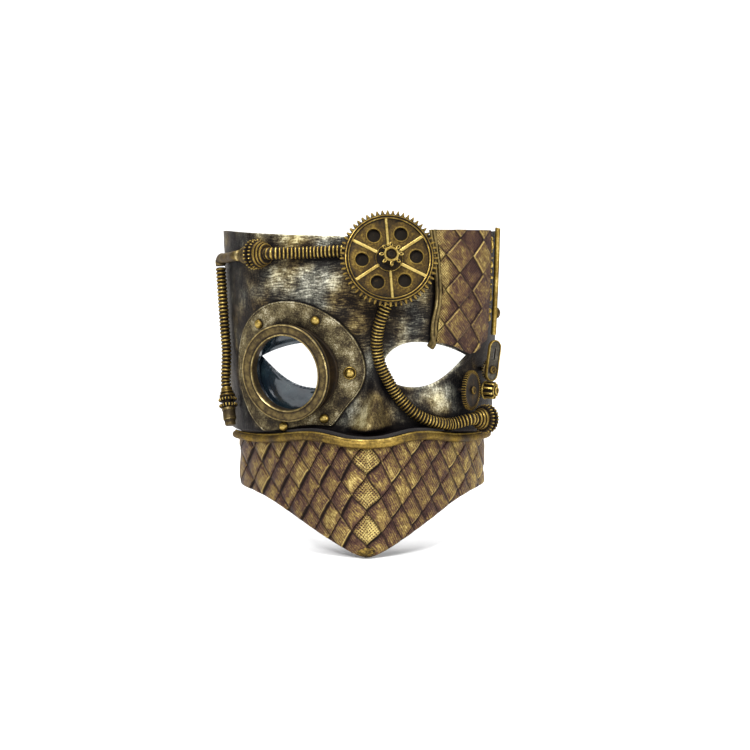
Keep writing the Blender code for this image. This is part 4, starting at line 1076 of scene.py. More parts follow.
def brushing_and_painted_light(x, z):
    """How strongly the pale paint was brushed over each part of the face, with painted highlights on the
    raised forehead, top edge, brow, cheek and nose, and painted shade at the sides.
    """
    return (
        0.26
        # These bright spots are partly brushed paint and partly painted highlights.
        + 0.52 * spot(x, z, -0.036, 0.053, 0.026, 0.012)
        - 0.16 * spot(x, z, -0.012, 0.046, 0.018, 0.018)
        + 0.28 * spot(x, z, -0.040, 0.079, 0.026, 0.006)
        + 0.10 * spot(x, z, -0.024, 0.034, 0.022, 0.009)
        + 0.16 * spot(x, z, 0.034, 0.028, 0.012, 0.015)
        + 0.34 * spot(x, z, 0.042, -0.021, 0.024, 0.011)
        + 0.36 * spot(x, z, -0.001, 0.004, 0.005, 0.014)
        + 0.60 * spot(x, z, -0.001, -0.032, 0.008, 0.010)
        + 0.30 * spot(x, z, -0.018, -0.028, 0.012, 0.010)
        + 0.14 * spot(x, z, 0.016, -0.004, 0.010, 0.014)
        - 0.16 * spot(x, z, -0.020, 0.030, 0.016, 0.008)
        # Painted shade towards the sides and to the right of the cheek gears.
        - 0.18 * smoothstep(0.062, 0.086, np.abs(x))
        - 0.26 * smoothstep(0.056, 0.070, x)
    )


def build_face():
    grid = shell_grid()
    normals = grid_normals(grid)
    x, z = grid[..., 0], grid[..., 2]
    opening = eye_distance(x, z)
    hammered = 0.00022 * lumps(grid, 0.009) + 0.00008 * lumps(grid, 0.0026, 7.3)
    rim = 0.0007 * bump(opening, 0.0017, 0.0014)
    crease = -0.0006 * spot(np.abs(x), z, 0.0125, -0.0345, 0.0022, 0.0050)
    height = hammered + rim + crease
    outer = grid + normals * height[..., None]
    inner = grid - normals * SHELL_THICK
    limit = REAR_Y - REAR_TRIM
    outer[..., 1] = np.minimum(outer[..., 1], limit)
    inner[..., 1] = np.minimum(inner[..., 1], limit)
    made = make("moulded_face", slab(outer, inner), FINISH["face"], smooth_deg=50)
    carved(made, [eye_cutter(1), eye_cutter(-1)])
    mesh = made.data
    points = np.array([vertex.co for vertex in mesh.vertices])
    x, z = points[:, 0], points[:, 2]
    opening = eye_distance(x, z)
    inside = clearance(points, face_point) < -SHELL_THICK * 0.6
    # Painted shade on the shelf above the lip moulding, a recess that lies in shadow.
    shelf = smoothstep(0.0060, 0.0014, z - lip_z(x) - SHELF_RISE)
    # wear: brushed paint with painted highlights and shade, a rubbed rim at the eye openings, and the painted
    # shade of the shelf.
    wear = brushing_and_painted_light(x, z) + 0.45 * bump(opening, 0.0, 0.0012) - 0.9 * shelf
    top_edge = smoothstep(0.0012, 0.0, top_z(x) - z)
    wear = np.where(inside, -0.3, wear + 0.35 * top_edge)
    arc = np.arctan2(x, REAR_Y - points[:, 1]) * 0.080
    upright = np.clip(smoothstep(0.012, -0.012, z) + smoothstep(0.062, 0.076, np.abs(x)), 0, 1)
    mesh.attributes.remove(mesh.attributes["wear"])
    set_values(mesh, {
        "wear": wear[:, None],
        "surface": np.stack([arc, z, np.zeros(len(z))], axis=-1),
        "upright": upright[:, None],
    })
    mesh.materials.append(FINISH["lining"])
    mesh.materials.append(FINISH["gloss"])
    from_axis = points - np.array(EYE_CENTRE)
    from_axis = from_axis - (from_axis @ np.array(EYE_AXIS))[:, None] * np.array(EYE_AXIS)
    bowl = np.linalg.norm(from_axis, axis=1) < BARREL_RADIUS
    for polygon in mesh.polygons:
        corners = list(polygon.vertices)
        if inside[corners].all():
            polygon.material_index = 1
        elif bowl[corners].all():
            polygon.material_index = 2
    registered(made, "mask", ("face_shell",))
    build_joint_strip()


def build_joint_strip():
    """The dark step inside the moulding, where the face runs down behind the chin panel."""
    angle = column_angle(np.linspace(0.01, 0.99, 120))
    top = chin_point(angle, LIP_Z)
    top[:, 2] = lip_z(top[:, 0])
    normal = chin_normal(angle, LIP_Z)
    depths, heights = (0.0006, 0.0028), (-0.0032, -0.0010, 0.0010, 0.0030, 0.0052)
    sides = []
    for depth in depths:
        rows = [top - normal * depth + np.array((0.0, 0.0, height)) for height in heights]
        sides.append(np.array(rows))
    made = make("joint_strip", slab(*sides), FINISH["lining"])
    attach(made, "mask")


# ---------------------------------------------------------------- woven panels

def weave_values(w, z, steps, diamonds=False):
    """Height and colouring at lattice position (w, z) of a plain weave, or of raised diamonds."""
    (ax, az), (bx, bz) = steps
    area = ax * bz - az * bx
    p = (w * bz - z * bx) / area
    q = (ax * z - az * w) / area
    i, j = np.round(p), np.round(q)
    wide, tall = abs(area) / math.hypot(bx, bz), abs(area) / math.hypot(ax, az)
    right, left = (0.5 - p + i) * wide, (0.5 + p - i) * wide
    ends = (0.5 - np.abs(q - j)) * tall
    over = (i + j) % 2 == 0
    chance = np.abs(np.sin(i * 12.9898 + j * 78.233) * 43758.5453) % 1.0
    raised = smoothstep(0.0, 0.0007, right) * smoothstep(-0.0002, 0.0010, left)
    raised = raised * (0.30 + 0.70 * smoothstep(-0.0003, 0.0030, ends))
    sunk = 0.22 + 0.56 * smoothstep(0.0, 0.0058, left) * smoothstep(-0.0004, 0.0014, ends)
    height = WEAVE_HEIGHT * np.where(over, raised, sunk)
    # Gold lines: gilding worn along the tile ends, and by each tile's right edge a line that is partly worn
    # gilding and partly a painted highlight.
    lines = 0.75 * bump(ends, 0.00055, 0.00026)
    over_gilt_and_highlight = np.maximum(lines, bump(right, 0.00105, 0.00042))
    under_gilt_and_highlight = 0.55 * lines + 0.35 * bump(right, 0.0004, 0.0004)
    wear = np.where(over, over_gilt_and_highlight, under_gilt_and_highlight) * (0.35 + 0.65 * chance)
    # Painted shade: a mask that is low on each raised tile's falling right edge, in the shadow it throws on
    # the lower tile beside it, and where tile ends tuck under.
    tile_end_shade_mask = 0.05 + 0.95 * smoothstep(0.0, 0.00075, ends)
    groove = np.where(
        over, smoothstep(0.00025, 0.00115, right) * (0.3 + 0.7 * smoothstep(0.0, 0.0004, left)) * tile_end_shade_mask,
        smoothstep(0.0, 0.00150, left) * (0.45 + 0.55 * smoothstep(0.0, 0.0003, right)) * tile_end_shade_mask,
    )
    inside = smoothstep(0.0003, 0.0028, np.minimum(np.minimum(right, left), ends))
    gilding = np.where(over, 0.14, 0.18) + 0.20 * (chance - 0.5)
    # The gilding grows towards each tile's middle, and painted shade darkens each tile along its left side.
    gilding = gilding + 0.16 * inside + 0.20 * smoothstep(0.001, 0.007, left)
    if diamonds:
        edge = np.minimum(np.minimum(right, left), ends)
        height = WEAVE_HEIGHT * np.where(over, 0.25 + 0.75 * smoothstep(0.0, 0.0008, edge), 0.20)
        wear = np.where(over, 1.1 * bump(edge, 0.00060, 0.00028), 0.0) * (0.5 + 0.5 * chance)
        # Painted shade beside the raised diamonds' edges.
        groove = smoothstep(0.0, np.where(over, 0.00035, 0.00110), edge)
        gilding = np.where(over, 0.36, 0.13) + 0.16 * (chance - 0.5) + 0.10 * smoothstep(0.001, 0.004, edge)
    return {
        "height": height, "wear": wear, "groove": groove, "gilding": gilding, "over": over,
        "across": p * wide, "along": q * tall,
    }


def chosen(mask, first, second):
    return {name: np.where(mask, first[name], second[name]) for name in first}


def woven_sheet(name, grid, normals, found, thick, coords, crossing, stands_for):
    """A panel whose outer side carries the weave and whose inner side is smooth."""
    rough = 0.00010 * lumps(grid, 0.0035, 3.1)
    outer = grid + normals * (found["height"] + rough - 0.0006)[..., None]
    inner = grid - normals * thick
    count = grid[..., 0].size
    back = {"wear": 0.0, "groove": 0.55, "gilding": 0.05, "crossing": 0.0}
    front = {**found, "crossing": crossing}
    values = {key: np.concatenate([front[key].ravel(), np.full(count, back[key])]) for key in back}
    flat = coords.reshape(-1, 3)
    values["weave"] = np.concatenate([flat, flat])
    return piece(name, slab(outer, inner, **values), "woven", "mask", stands_for, smooth_deg=60)


def build_chin():
    columns = int(GIRTH / PANEL_STEP)
    angle = column_angle(np.linspace(0, 1, columns))
    x = chin_point(angle, LIP_Z)[:, 0]
    low, high = chin_edge_z(x), lip_z(x) + CHIN_RISE
    share = np.linspace(0, 1, int(CHIN_HEIGHT / PANEL_STEP))[:, None]
    z = low + (high - low) * share
    grid = chin_point(np.broadcast_to(angle, z.shape), z)
    normals = grid_normals(grid)
    x = grid[..., 0]
    side = np.abs(x)
    w = side - WEAVE_CENTRE_EXTRA * smoothstep(0, 0.0088, side)
    w = np.sign(x) * w * (1 + 0.10 * (side / CHIN_HALF_WIDTH) ** 4)
    rise = z - WEAVE_CENTRE_Z
    found = chosen(x < 0, weave_values(w, rise, WEAVE_LEFT), weave_values(w, rise, WEAVE_RIGHT))
    middle = (np.abs(w) < 0.0066) & (found["over"] > 0)
    crossing = np.where(middle, 1.0, np.where(found["over"] > 0, 0.20, 0.0))
    found["gilding"] = np.where(middle, 0.16 + found["gilding"], found["gilding"])
    lower = smoothstep(0.0, 0.0012, z - low)
    found["height"] = found["height"] * (0.4 + 0.6 * lower)
    coords = stacked(found["across"], found["along"], 0.0)
    woven_sheet("chin_weave", grid, normals, found, CHIN_THICK, coords, crossing, ("chin_panel",))
    build_chin_knot()


def build_chin_knot():
    """A rough little knot of gilding at the tip of the chin."""
    shape = bmesh.new()
    bmesh.ops.create_icosphere(shape, subdivisions=5, radius=1.0)
    points, faces = points_and_faces(shape)
    rough = 1 + 0.30 * lumps(points, 0.55) + 0.16 * lumps(points, 0.2, 4.0)
    points = points * rough[:, None] * (0.0052, 0.0019, 0.0026)
    tip = chin_point(0.0, CHIN_TIP_Z + 0.0030)
    raw = Raw(points + tip + (0.0, 0.0002, -0.0002), faces, wear=0.45 + 0.5 * (rough - 1))
    piece("chin_knot", raw, "gold")


def read_table(table, value):
    xs, ys = zip(*table)
    return np.interp(value, xs, ys)


def brow_grid(us, vs, lift):
    """The brow panel's surface, from its inner edge to the side of the face."""
    u, v = np.meshgrid(us, vs)
    z = np.full(u.shape, BROW_FOOT[0][1])
    top = TOP_Z + TOP_CORNER_RISE
    for _ in range(4):
        start = angle_of(over_face(read_table(BROW_INNER, z), z, 0.0))
        angle = start + (BROW_OUTER_ANGLE - start) * u
        foot = read_table(BROW_FOOT, face_point(angle, z)[..., 0])
        z = foot + (top - foot) * v
    normal = surface_normal(plain_face, angle, z)
    return face_point(angle, z) + normal * lift, angle, normal


def build_brow():
    us = np.linspace(0.0, BROW_PANEL_END, 130)
    vs = np.linspace(0.0, 1.0, int(BROW_HEIGHT / PANEL_STEP))
    grid, angle, normals = brow_grid(us, vs, BROW_LIFT)
    z = grid[..., 2]
    by_the_lever = spot(grid[..., 0], z, 0.0762, 0.0086, 0.0040, 0.0055)
    grid = grid - normals * (0.0013 * by_the_lever)[..., None]
    w = (angle - BROW_WEAVE_ORIGIN[0]) * BROW_ARC_RADIUS
    rise = z - BROW_WEAVE_ORIGIN[1]
    found = weave_values(w, rise, BROW_WEAVE, diamonds=True)
    inner_edge = smoothstep(0.22, 0.02, np.broadcast_to(us, z.shape))
    crossing = np.clip(np.where(found["over"] > 0, 0.1, 0.35) + 0.65 * inner_edge, 0, 1)
    found["gilding"] = found["gilding"] + 0.22 * inner_edge
    coords = stacked(found["across"], found["along"], 0.0)
    woven_sheet("brow_weave", grid, normals, found, BROW_THICK, coords, crossing, ("brow_panel",))


def brow_line(u, outwards, inwards, spacing):
    """A line beside one edge of the brow panel, from low to high."""
    vs = np.linspace(0.02 if u < 0.5 else 0.0, 1.0, 24)
    points, _, normals = brow_grid(np.array([u]), vs, BROW_LIFT - inwards)
    points, normals = points[:, 0], normals[:, 0]
    across = unit(np.cross((0.0, 0.0, 1.0), normals)) * outwards
    return smooth_path(points + across * spacing, 0.0008)


def build_brow_trims():
    tail = [over_face(x, z, lift) for x, z, lift in ((0.0405, 0.0118, 0.0008), (0.0418, 0.0145, 0.0018))]
    strands = []
    for index, (away, inwards) in enumerate(((0.0011, 0.0006), (0.0030, 0.0012))):
        line = brow_line(0.0, -1, inwards, away)
        start = [point + (0.0012 * index, -0.0006 * index, -0.0008 * index) for point in tail]
        path = smooth_path([*start, *line[5::6]], 0.0008)
        flare = 1 + 0.55 * bump(np.linspace(0, 1, len(path)), 0.0, 0.09)
        ripple = 1 + 0.07 * lumps(path, 0.004, index)
        strands.append(sweep(path, 0.00115 * flare * ripple, 16, 0.62 + 0.25 * lumps(path, 0.006)))
    piece("brow_trim_inner_strands", merged(*strands), "bronze", stands_for=("brow_trim_inner",))
    rod = brow_line(1.0, 1, 0.0001, 0.0018)
    rod = np.concatenate([rod, rod[-1] + np.array([(0.0, 0.0, 0.0008), (0.0002, 0.0, 0.0016)])])

    def shape(turns):
        return 1 + 0.05 * np.cos(3 * turns)

    raws = [sweep(rod, 0.0017 * (1 + 0.05 * lumps(rod, 0.005)), 18, 0.75 + 0.2 * lumps(rod, 0.009), shape)]
    gap, _, _ = brow_grid(np.array([BROW_BEADS_AT]), np.linspace(0.18, 0.92, 13), BROW_LIFT - 0.0012)
    for number, point in enumerate(gap[:, 0]):
        size = 0.0011 + 0.0004 * math.sin(number * 2.4)
        length = 1.3 + 0.8 * math.cos(number * 1.7)
        path = point + np.linspace(-size * length, size * length, 9)[:, None] * np.array((0.0, 0.0, 1.0))
        taper = np.sqrt(np.clip(1 - np.linspace(-0.96, 0.96, 9) ** 2, 0, 1))
        raws.append(sweep(path, size * taper * (1 + 0.2 * lumps(path, 0.0012, number)), 12, 0.7))
    piece("brow_trim_outer_rod", merged(*raws), "gold", stands_for=("brow_trim_outer",))


def build_lip():
    angle = column_angle(np.linspace(0, 1, 300))
    angle = angle[np.abs(angle) <= math.radians(86)]
    points = chin_point(angle, np.full(len(angle), LIP_Z))
    points[:, 2] = lip_z(points[:, 0]) + GAP
    points = points + chin_normal(angle, LIP_Z) * (LIP_RADIUS + 2 * GAP)
    path = smooth_path(points[::6], 0.0009)
    share = np.linspace(-1, 1, len(path))
    ends = np.sqrt(np.clip(1 - np.clip((np.abs(share) - 0.985) / 0.016, 0, 1) ** 2, 0.02, 1))
    radius = LIP_RADIUS * ends * (1 + 0.06 * lumps(path, 0.011) + 0.03 * lumps(path, 0.003))
    wear = 0.34 + 0.34 * lumps(path, 0.010, 2.0) + 0.15 * bump(share, 0, 0.3)

    def grooved(turns):
        return 1 - 0.10 * bump(turns, 2.1, 0.16) - 0.08 * bump(turns, 3.3, 0.14)

    strand = path + (0.0, -0.0004, 0.0) + np.outer(LIP_RADIUS * 0.94 * ends, (0.0, 0.0, 1.0))
    bright = 0.72 + 0.2 * lumps(path, 0.008, 5.0)
    raw = merged(sweep(path, radius, 28, wear, grooved), sweep(strand, 0.00085 * ends, 14, bright))
    piece("lip_moulding", raw, "gold", stands_for=("lip_trim",))


# ---------------------------------------------------------------- eyepiece

def plate_reach(turn):
    """The plate's edge: a circle, a little flattened low down beside the nose."""
    return PLATE_RADIUS - PLATE_FLAT * bump(turn, math.radians(-37), math.radians(21))


def eye_ring(radius, turns, lift):
    """Points of a ring about the eyepiece axis, dropped onto the shell and stopped above the shelf."""
    x, y = radius * np.cos(turns), radius * np.sin(turns)
    floor = lip_z(EYE_X + x) + PLATE_FLOOR_RISE + (PLATE_RADIUS - radius) * 0.3 - EYE_Z
    local = stacked(x, np.maximum(y, floor), 0.040)
    return slide(carried(local, EYE_FRAME), -np.array(EYE_AXIS), lift)


def build_eye_plate():
    turns = np.linspace(-math.pi, math.pi, 181)[:-1]
    reach = plate_reach(turns)
    rear = PLATE_LIFT - PLATE_THICK
    section = [(0.0, rear, 0.1), (0.0, PLATE_LIFT, 0.30)]
    section += [(share, PLATE_LIFT, 0.40) for share in np.linspace(0.06, 0.90, 15)]
    section += [
        (0.940, PLATE_LIFT, 0.25), (0.955, PLATE_LIFT + 0.00020, 0.50), (0.980, PLATE_LIFT + 0.00022, 0.55),
        (0.995, PLATE_LIFT, 0.45), (1.0, PLATE_LIFT - 0.0005, 0.1), (1.0, rear, 0.0),
    ]
    loops, wear = [], []
    for share, lift, worn in section:
        radius = PLATE_HOLE_RADIUS + (reach - PLATE_HOLE_RADIUS) * share
        loops.append(eye_ring(radius, turns, lift))
        wear.append(np.full(len(turns), worn))
    raw = rings(loops, closed=True, wear=np.concatenate(wear))
    piece("pebbled_eye_plate", raw, "plate", stands_for=("eye_plate",), smooth_deg=30)


def build_barrel():
    turns = np.arange(120) * math.tau / 120
    bore, wall, seat, top = BARREL_BORE_RADIUS, BARREL_RADIUS, REBATE_RADIUS, BARREL_TOP
    foot = [
        (bore, 0.0, 0.0),
        *near(wall, 0, (0.9, 0, 0.2), (0.9, 0.7, 0.45), (0.3, 1.0, 0.1), (0, 1.4, 0.25)),
    ]
    loops, wear = [], []
    for radius, above, worn in foot:
        ring = eye_ring(np.full(len(turns), radius), turns, BARREL_LIFT + above)
        heights = carried(ring, EYE_FRAME.inverted())[:, 2]
        loops.append(stacked(radius * np.cos(turns), radius * np.sin(turns), heights))
        wear.append(np.full(len(turns), worn))
    mouth = [
        *near(wall, top, (0, -2.2, 0.35), (0.2, -1.9, 0.05), (1.1, -1.5, 0.5), (1.1, -0.8, 0.5),
              (-0.2, -0.5, 0),
              (-0.4, 0, 0.1)),
        (seat, top, 0.1), (seat, top - REBATE_DEPTH, 0.0), (bore, top - REBATE_DEPTH, 0.0),
    ]
    for radius, height, worn in mouth:
        loops.append(stacked(radius * np.cos(turns), radius * np.sin(turns), height))
        wear.append(np.full(len(turns), worn))
    raw = rings(loops, closed=True, wear=np.concatenate(wear))
    made = piece("eye_barrel_wall", raw, "wall", stands_for=("eye_barrel",), where=EYE_FRAME, smooth_deg=30)
    made.data.materials.append(FINISH["gloss"])
    for polygon in made.data.polygons:
        middle = polygon.center
        if math.hypot(middle.x, middle.y) < bore + 0.0002:
            polygon.material_index = 1


def build_bezel():
    foot = BARREL_TOP + GAP
    top = foot + BEZEL_THICK
    spigot = REBATE_RADIUS - GAP
    low = BARREL_TOP - REBATE_DEPTH + GAP
    outer, bore = BEZEL_RADIUS, BEZEL_BORE_RADIUS
    profile = [
        (bore, low, 0.1), (spigot, low, 0.1), (spigot, foot, 0.1),
        *near(outer, foot, (-0.4, 0, 0.2), (0, 0.4, 0.35), (0, 1.2, 0.3), (-0.5, 1.6, 0)),
        *near(outer, top, (-0.5, -1.6, 0.1), (-0.1, -1.1, 0.55), (0, -0.6, 0.7), (-0.4, -0.1, 0.75),
              (-0.9, -0.2, 0.6), (-1.2, -0.6, 0.2), (-1.7, -0.6, 0.42), (-3.3, -0.5, 0.48),
              (-4.8, -0.6, 0.42)),
        *near(bore, top, (1.5, -0.8, 0.1), (1.2, -0.4, 0.55), (0.8, -0.1, 0.75), (0.3, -0.4, 0.7),
              (0, -1, 0.35), (0, -2.6, 0.1)),
    ]
    raw = lathe(profile, 128)
    radius = np.hypot(raw.points[:, 0], raw.points[:, 1])
    band = (radius > bore + 0.0017) & (radius < outer - 0.0015) & (raw.points[:, 2] > foot + 0.001)
    raw.values["wear"][:, 0] += np.where(band, 0.35 * lumps(raw.points, 0.0035), 0.0)
    piece("goggle_bezel", raw, "bronze", "bezel", ("eye_bezel",), EYE_FRAME, 30)


def build_plate_rivets():
    for number, angle_deg in enumerate(RIVET_ANGLES, start=1):
        turn = math.radians(angle_deg)
        x = EYE_X + RIVET_CIRCLE_RADIUS * math.cos(turn)
        z = EYE_Z + RIVET_CIRCLE_RADIUS * math.sin(turn)
        foot = over_face(x, z, 0.0, plain_face)
        where = axis_frame(foot, surface_normal(plain_face, angle_of(foot), z))
        seat, r = PLATE_LIFT + 0.0001, RIVET_RADIUS
        dome = [(r * math.cos(t), seat + 0.0003 + r * 0.72 * math.sin(t), 0.35 + 0.6 * math.sin(t))
                for t in np.linspace(0.0, 1.45, 9)]
        profile = [(0.0012, seat - 0.0030, 0.0), (0.0012, seat, 0.0), (r, seat, 0.0), *dome]
        raws = [lathe([(0.0, seat - 0.0030, 0.0), *profile, (0.0, seat + r * 0.75, 1.0)], 32)]
        if angle_deg == RINGED_RIVET:
            bead = [(r + 0.0006 + 0.0005 * math.cos(t), seat + 0.0005 * math.sin(t), 0.6)
                    for t in np.arange(8) * math.tau / 8]
            raws.append(lathe(bead, 36))
        piece(f"plate_rivet_head_{number}", merged(*raws), "gold", "mask", (f"plate_rivet_{number}",), where)


# ---------------------------------------------------------------- gears

def spoke(turn, low, high, half, base, top):
    """A chamfered bar along a radius, from low to high."""
    section = np.array(((-half, base), (-half, top - 0.0003), (-half * 0.55, top), (half * 0.55, top),
                        (half, top - 0.0003), (half, base)))
    along = np.array((math.cos(turn), math.sin(turn), 0.0))
    across = np.array((-math.sin(turn), math.cos(turn), 0.0))
    upward = np.array((0.0, 0.0, 1.0))
    loops = []
    for reach in np.linspace(low, high, 6):
        loops.append(along * reach + section[:, :1] * across + section[:, 1:] * upward)
    wear = np.tile((0.1, 0.6, 0.95, 0.95, 0.6, 0.1), 6)
    return rings(loops, wear=wear)


def build_forehead_gear():
    where = axis_frame(GEAR_CENTRE, facing_axis(GEAR_YAW, GEAR_PITCH))
    half, face = GEAR_RIM_HALF, 0.0011
    holes = [circle_points(PIN_BORE_RADIUS, 24)]
    raws = []
    for number in range(GEAR_SPOKES):
        turn = math.tau * (number + 0.5) / GEAR_SPOKES + GEAR_SPOKE_TURN
        centre = (GEAR_HOLE_CIRCLE * math.cos(turn), GEAR_HOLE_CIRCLE * math.sin(turn))
        holes.append(circle_points(GEAR_HOLE_RADIUS, 32, centre))
        r = GEAR_HOLE_RADIUS
        ring = lathe([
            (r - 0.0001, 0.0, 0.1), (r + 0.0034, 0.0, 0.1),
            *near(r, face, (3.4, 0.04, 0.05), (2.1, 0.12, 0.28), (0.9, 0.15, 0.36), (0.6, 0.4, 0.5),
                  (0.1, 0.4, 0.45), (-0.1, 0.1, 0.2)),
        ], 40)
        raws.append(placed(ring, Matrix.Translation((*centre, 0))))
        turn = math.tau * number / GEAR_SPOKES + GEAR_SPOKE_TURN
        raws.append(spoke(turn, GEAR_HUB_RADIUS - 0.0005, GEAR_RIM_BORE + 0.0006, 0.0009, 0.0, half - 0.0003))
    disc = flat_shape(circle_points(GEAR_RIM_BORE + 0.0008, 96), holes, 2 * face, -face, 0.0001)
    disc.values["wear"][:] = 0.12
    root, tip = GEAR_ROOT_RADIUS, GEAR_TIP_RADIUS
    levels = (
        (-face, root, tip - 0.0002, -0.1), (face - 0.0003, root, tip, 0.25), (face, root, tip - 0.0003, 0.50),
    )
    rim_in, rim_out = GEAR_RIM_BORE, GEAR_ROOT_RADIUS - 0.0003
    middle = (rim_in + rim_out) / 2
    rim = [
        (rim_in, -half, 0.1), (rim_out, -half, 0.1),
        *near(rim_out, half, (0, -0.9, -0.2), (-0.3, -0.2, 0.5), (-0.7, -0.1, 0.55)),
        *near(middle, half, (0.2, -0.6, 0), (-0.2, -0.6, 0)),
        *near(rim_in, half, (0.7, 0, 0.45), (0.2, -0.1, 0.55), (0, -0.9, -0.1)),
    ]
    hub = [
        (0.0019, -half, 0.0), (GEAR_HUB_RADIUS, -half, 0.1),
        *near(GEAR_HUB_RADIUS, half, (0, -0.5, 0.15), (0.3, -0.3, 0.6), (0.1, -0.1, 0.55),
              (-0.4, -0.4, -0.1)),
        (0.0019, half - 0.0004, -0.3),
    ]
    back = [
        (0.0019, -half, 0.0),
        *near(rim_in, -half, (0.2, 0, 0), (0.2, 0.5, -0.4)),
        (0.0019, -half + 0.0005, -0.4),
    ]
    turned = (lathe(rim, 112), lathe(hub, 48), lathe(back, 64))
    raw = merged(disc, toothed(GEAR_TEETH, levels, rim_in), *turned, *raws)
    piece("forehead_gear_wheel", raw, "gold", "forehead_gear", ("main_gear",), where, 32)
    build_forehead_pinion(where, half)


def build_forehead_pinion(where, half):
    rear = PINION_FRONT - PINION_THICK
    top = PINION_FRONT
    petal = lathe([
        (0.0, rear, 0.1), (0.0008, rear, 0.1),
        *near(0, top, (0.95, -0.6, 0.5), (0.9, -0.1, 0.8), (0.6, 0, 0.8), (0.3, -0.3, 0.1), (0, -0.3, 0.1)),
    ], 20)
    petals = []
    for number in range(8):
        turn = Matrix.Rotation(math.tau * number / 8, 4, "Z")
        long_petal = Matrix.Translation((PETAL_CIRCLE, 0, 0)) @ Matrix.Diagonal((PETAL_STRETCH, 1, 1, 1))
        petals.append(placed(petal, turn @ long_petal))
    sleeve = lathe([
        *near(0, half + GAP, (1.8, 0, 0), (4.2, 0, 0)),
        (0.0042, rear, 0.05), (0.0046, rear, 0.1),
        *near(0, top, (4.7, -0.9, 0.3), (4.4, -0.6, 0.3)),
        (0.0018, rear + 0.0012, 0.0),
    ], 32)
    ring = near(
        0, top, (3.1, -1.6, 0.1), (4.5, -0.8, 0.2), (4.6, -0.1, 0.7), (4.3, 0.2, 0.85), (3.6, 0.2, 0.8),
        (3.2, -0.2, 0.5),
    )
    raw = merged(*petals, sleeve, lathe(ring, 40))
    piece("petal_pinion", raw, "gold", "forehead_gear", ("main_pinion",), where, 40)
    foot = slide(np.array(GEAR_CENTRE), -np.array(facing_axis(GEAR_YAW, GEAR_PITCH)), 0.0)
    depth = np.linalg.norm(foot - np.array(GEAR_CENTRE))
    shoulder, flange = -half - GAP, -depth - 0.0040
    pin_top = PINION_FRONT - 0.0026
    spindle = [
        *near(0, flange, (0, -1.4, 0.3), (5, -1.4, 0.4), (5.5, -1, 0.4), (5.5, 0, 0.2), (3.2, 0, 0.1)),
        *near(0, shoulder, (3.2, -0.4, 0.3), (2.9, 0, 0.4), (1.5, 0, 0.2)),
        (0.0015, pin_top, 0.2), (0, pin_top, 0.2),
    ]
    piece("gear_spindle_turned", lathe(spindle, 32), "wall", "mask", ("gear_spindle",), where)
    seat = PINION_FRONT - 0.0013
    head = near(
        0, seat, (0, -1, 0), (1.2, -1, 0), (1.2, 0, 0), (2.7, 0, 0), (2.7, 0.4, 0.15), (2.2, 0.8, 0.2),
        (1.2, 0.9, 0.1), (0.9, 0.5, 0), (0, 0.4, 0),
    )
    piece("gear_screw_head", lathe(head, 28), "wall", "mask", ("gear_screw",), where)


def build_pin(name, node, where, high, ring, depth):
    """A pin with a domed head that keeps a wheel on."""
    r, head = PIN_RADIUS, 0.0026
    profile = [
        (0, -depth, -0.6), (r, -depth, -0.6), (r, high, -0.6),
        *near(head, high, (0, 0, 0), (0, 0.4, 0.4), (-0.3, 0.9, ring), (-0.9, 1, ring), (-1.3, 0.6, 0)),
        *near(0, high, (0.5, 0.7, 0.3), (0, 0.7, 0.3)),
    ]
    piece(name, lathe(profile, 28), "gold", "mask", (node,), where)


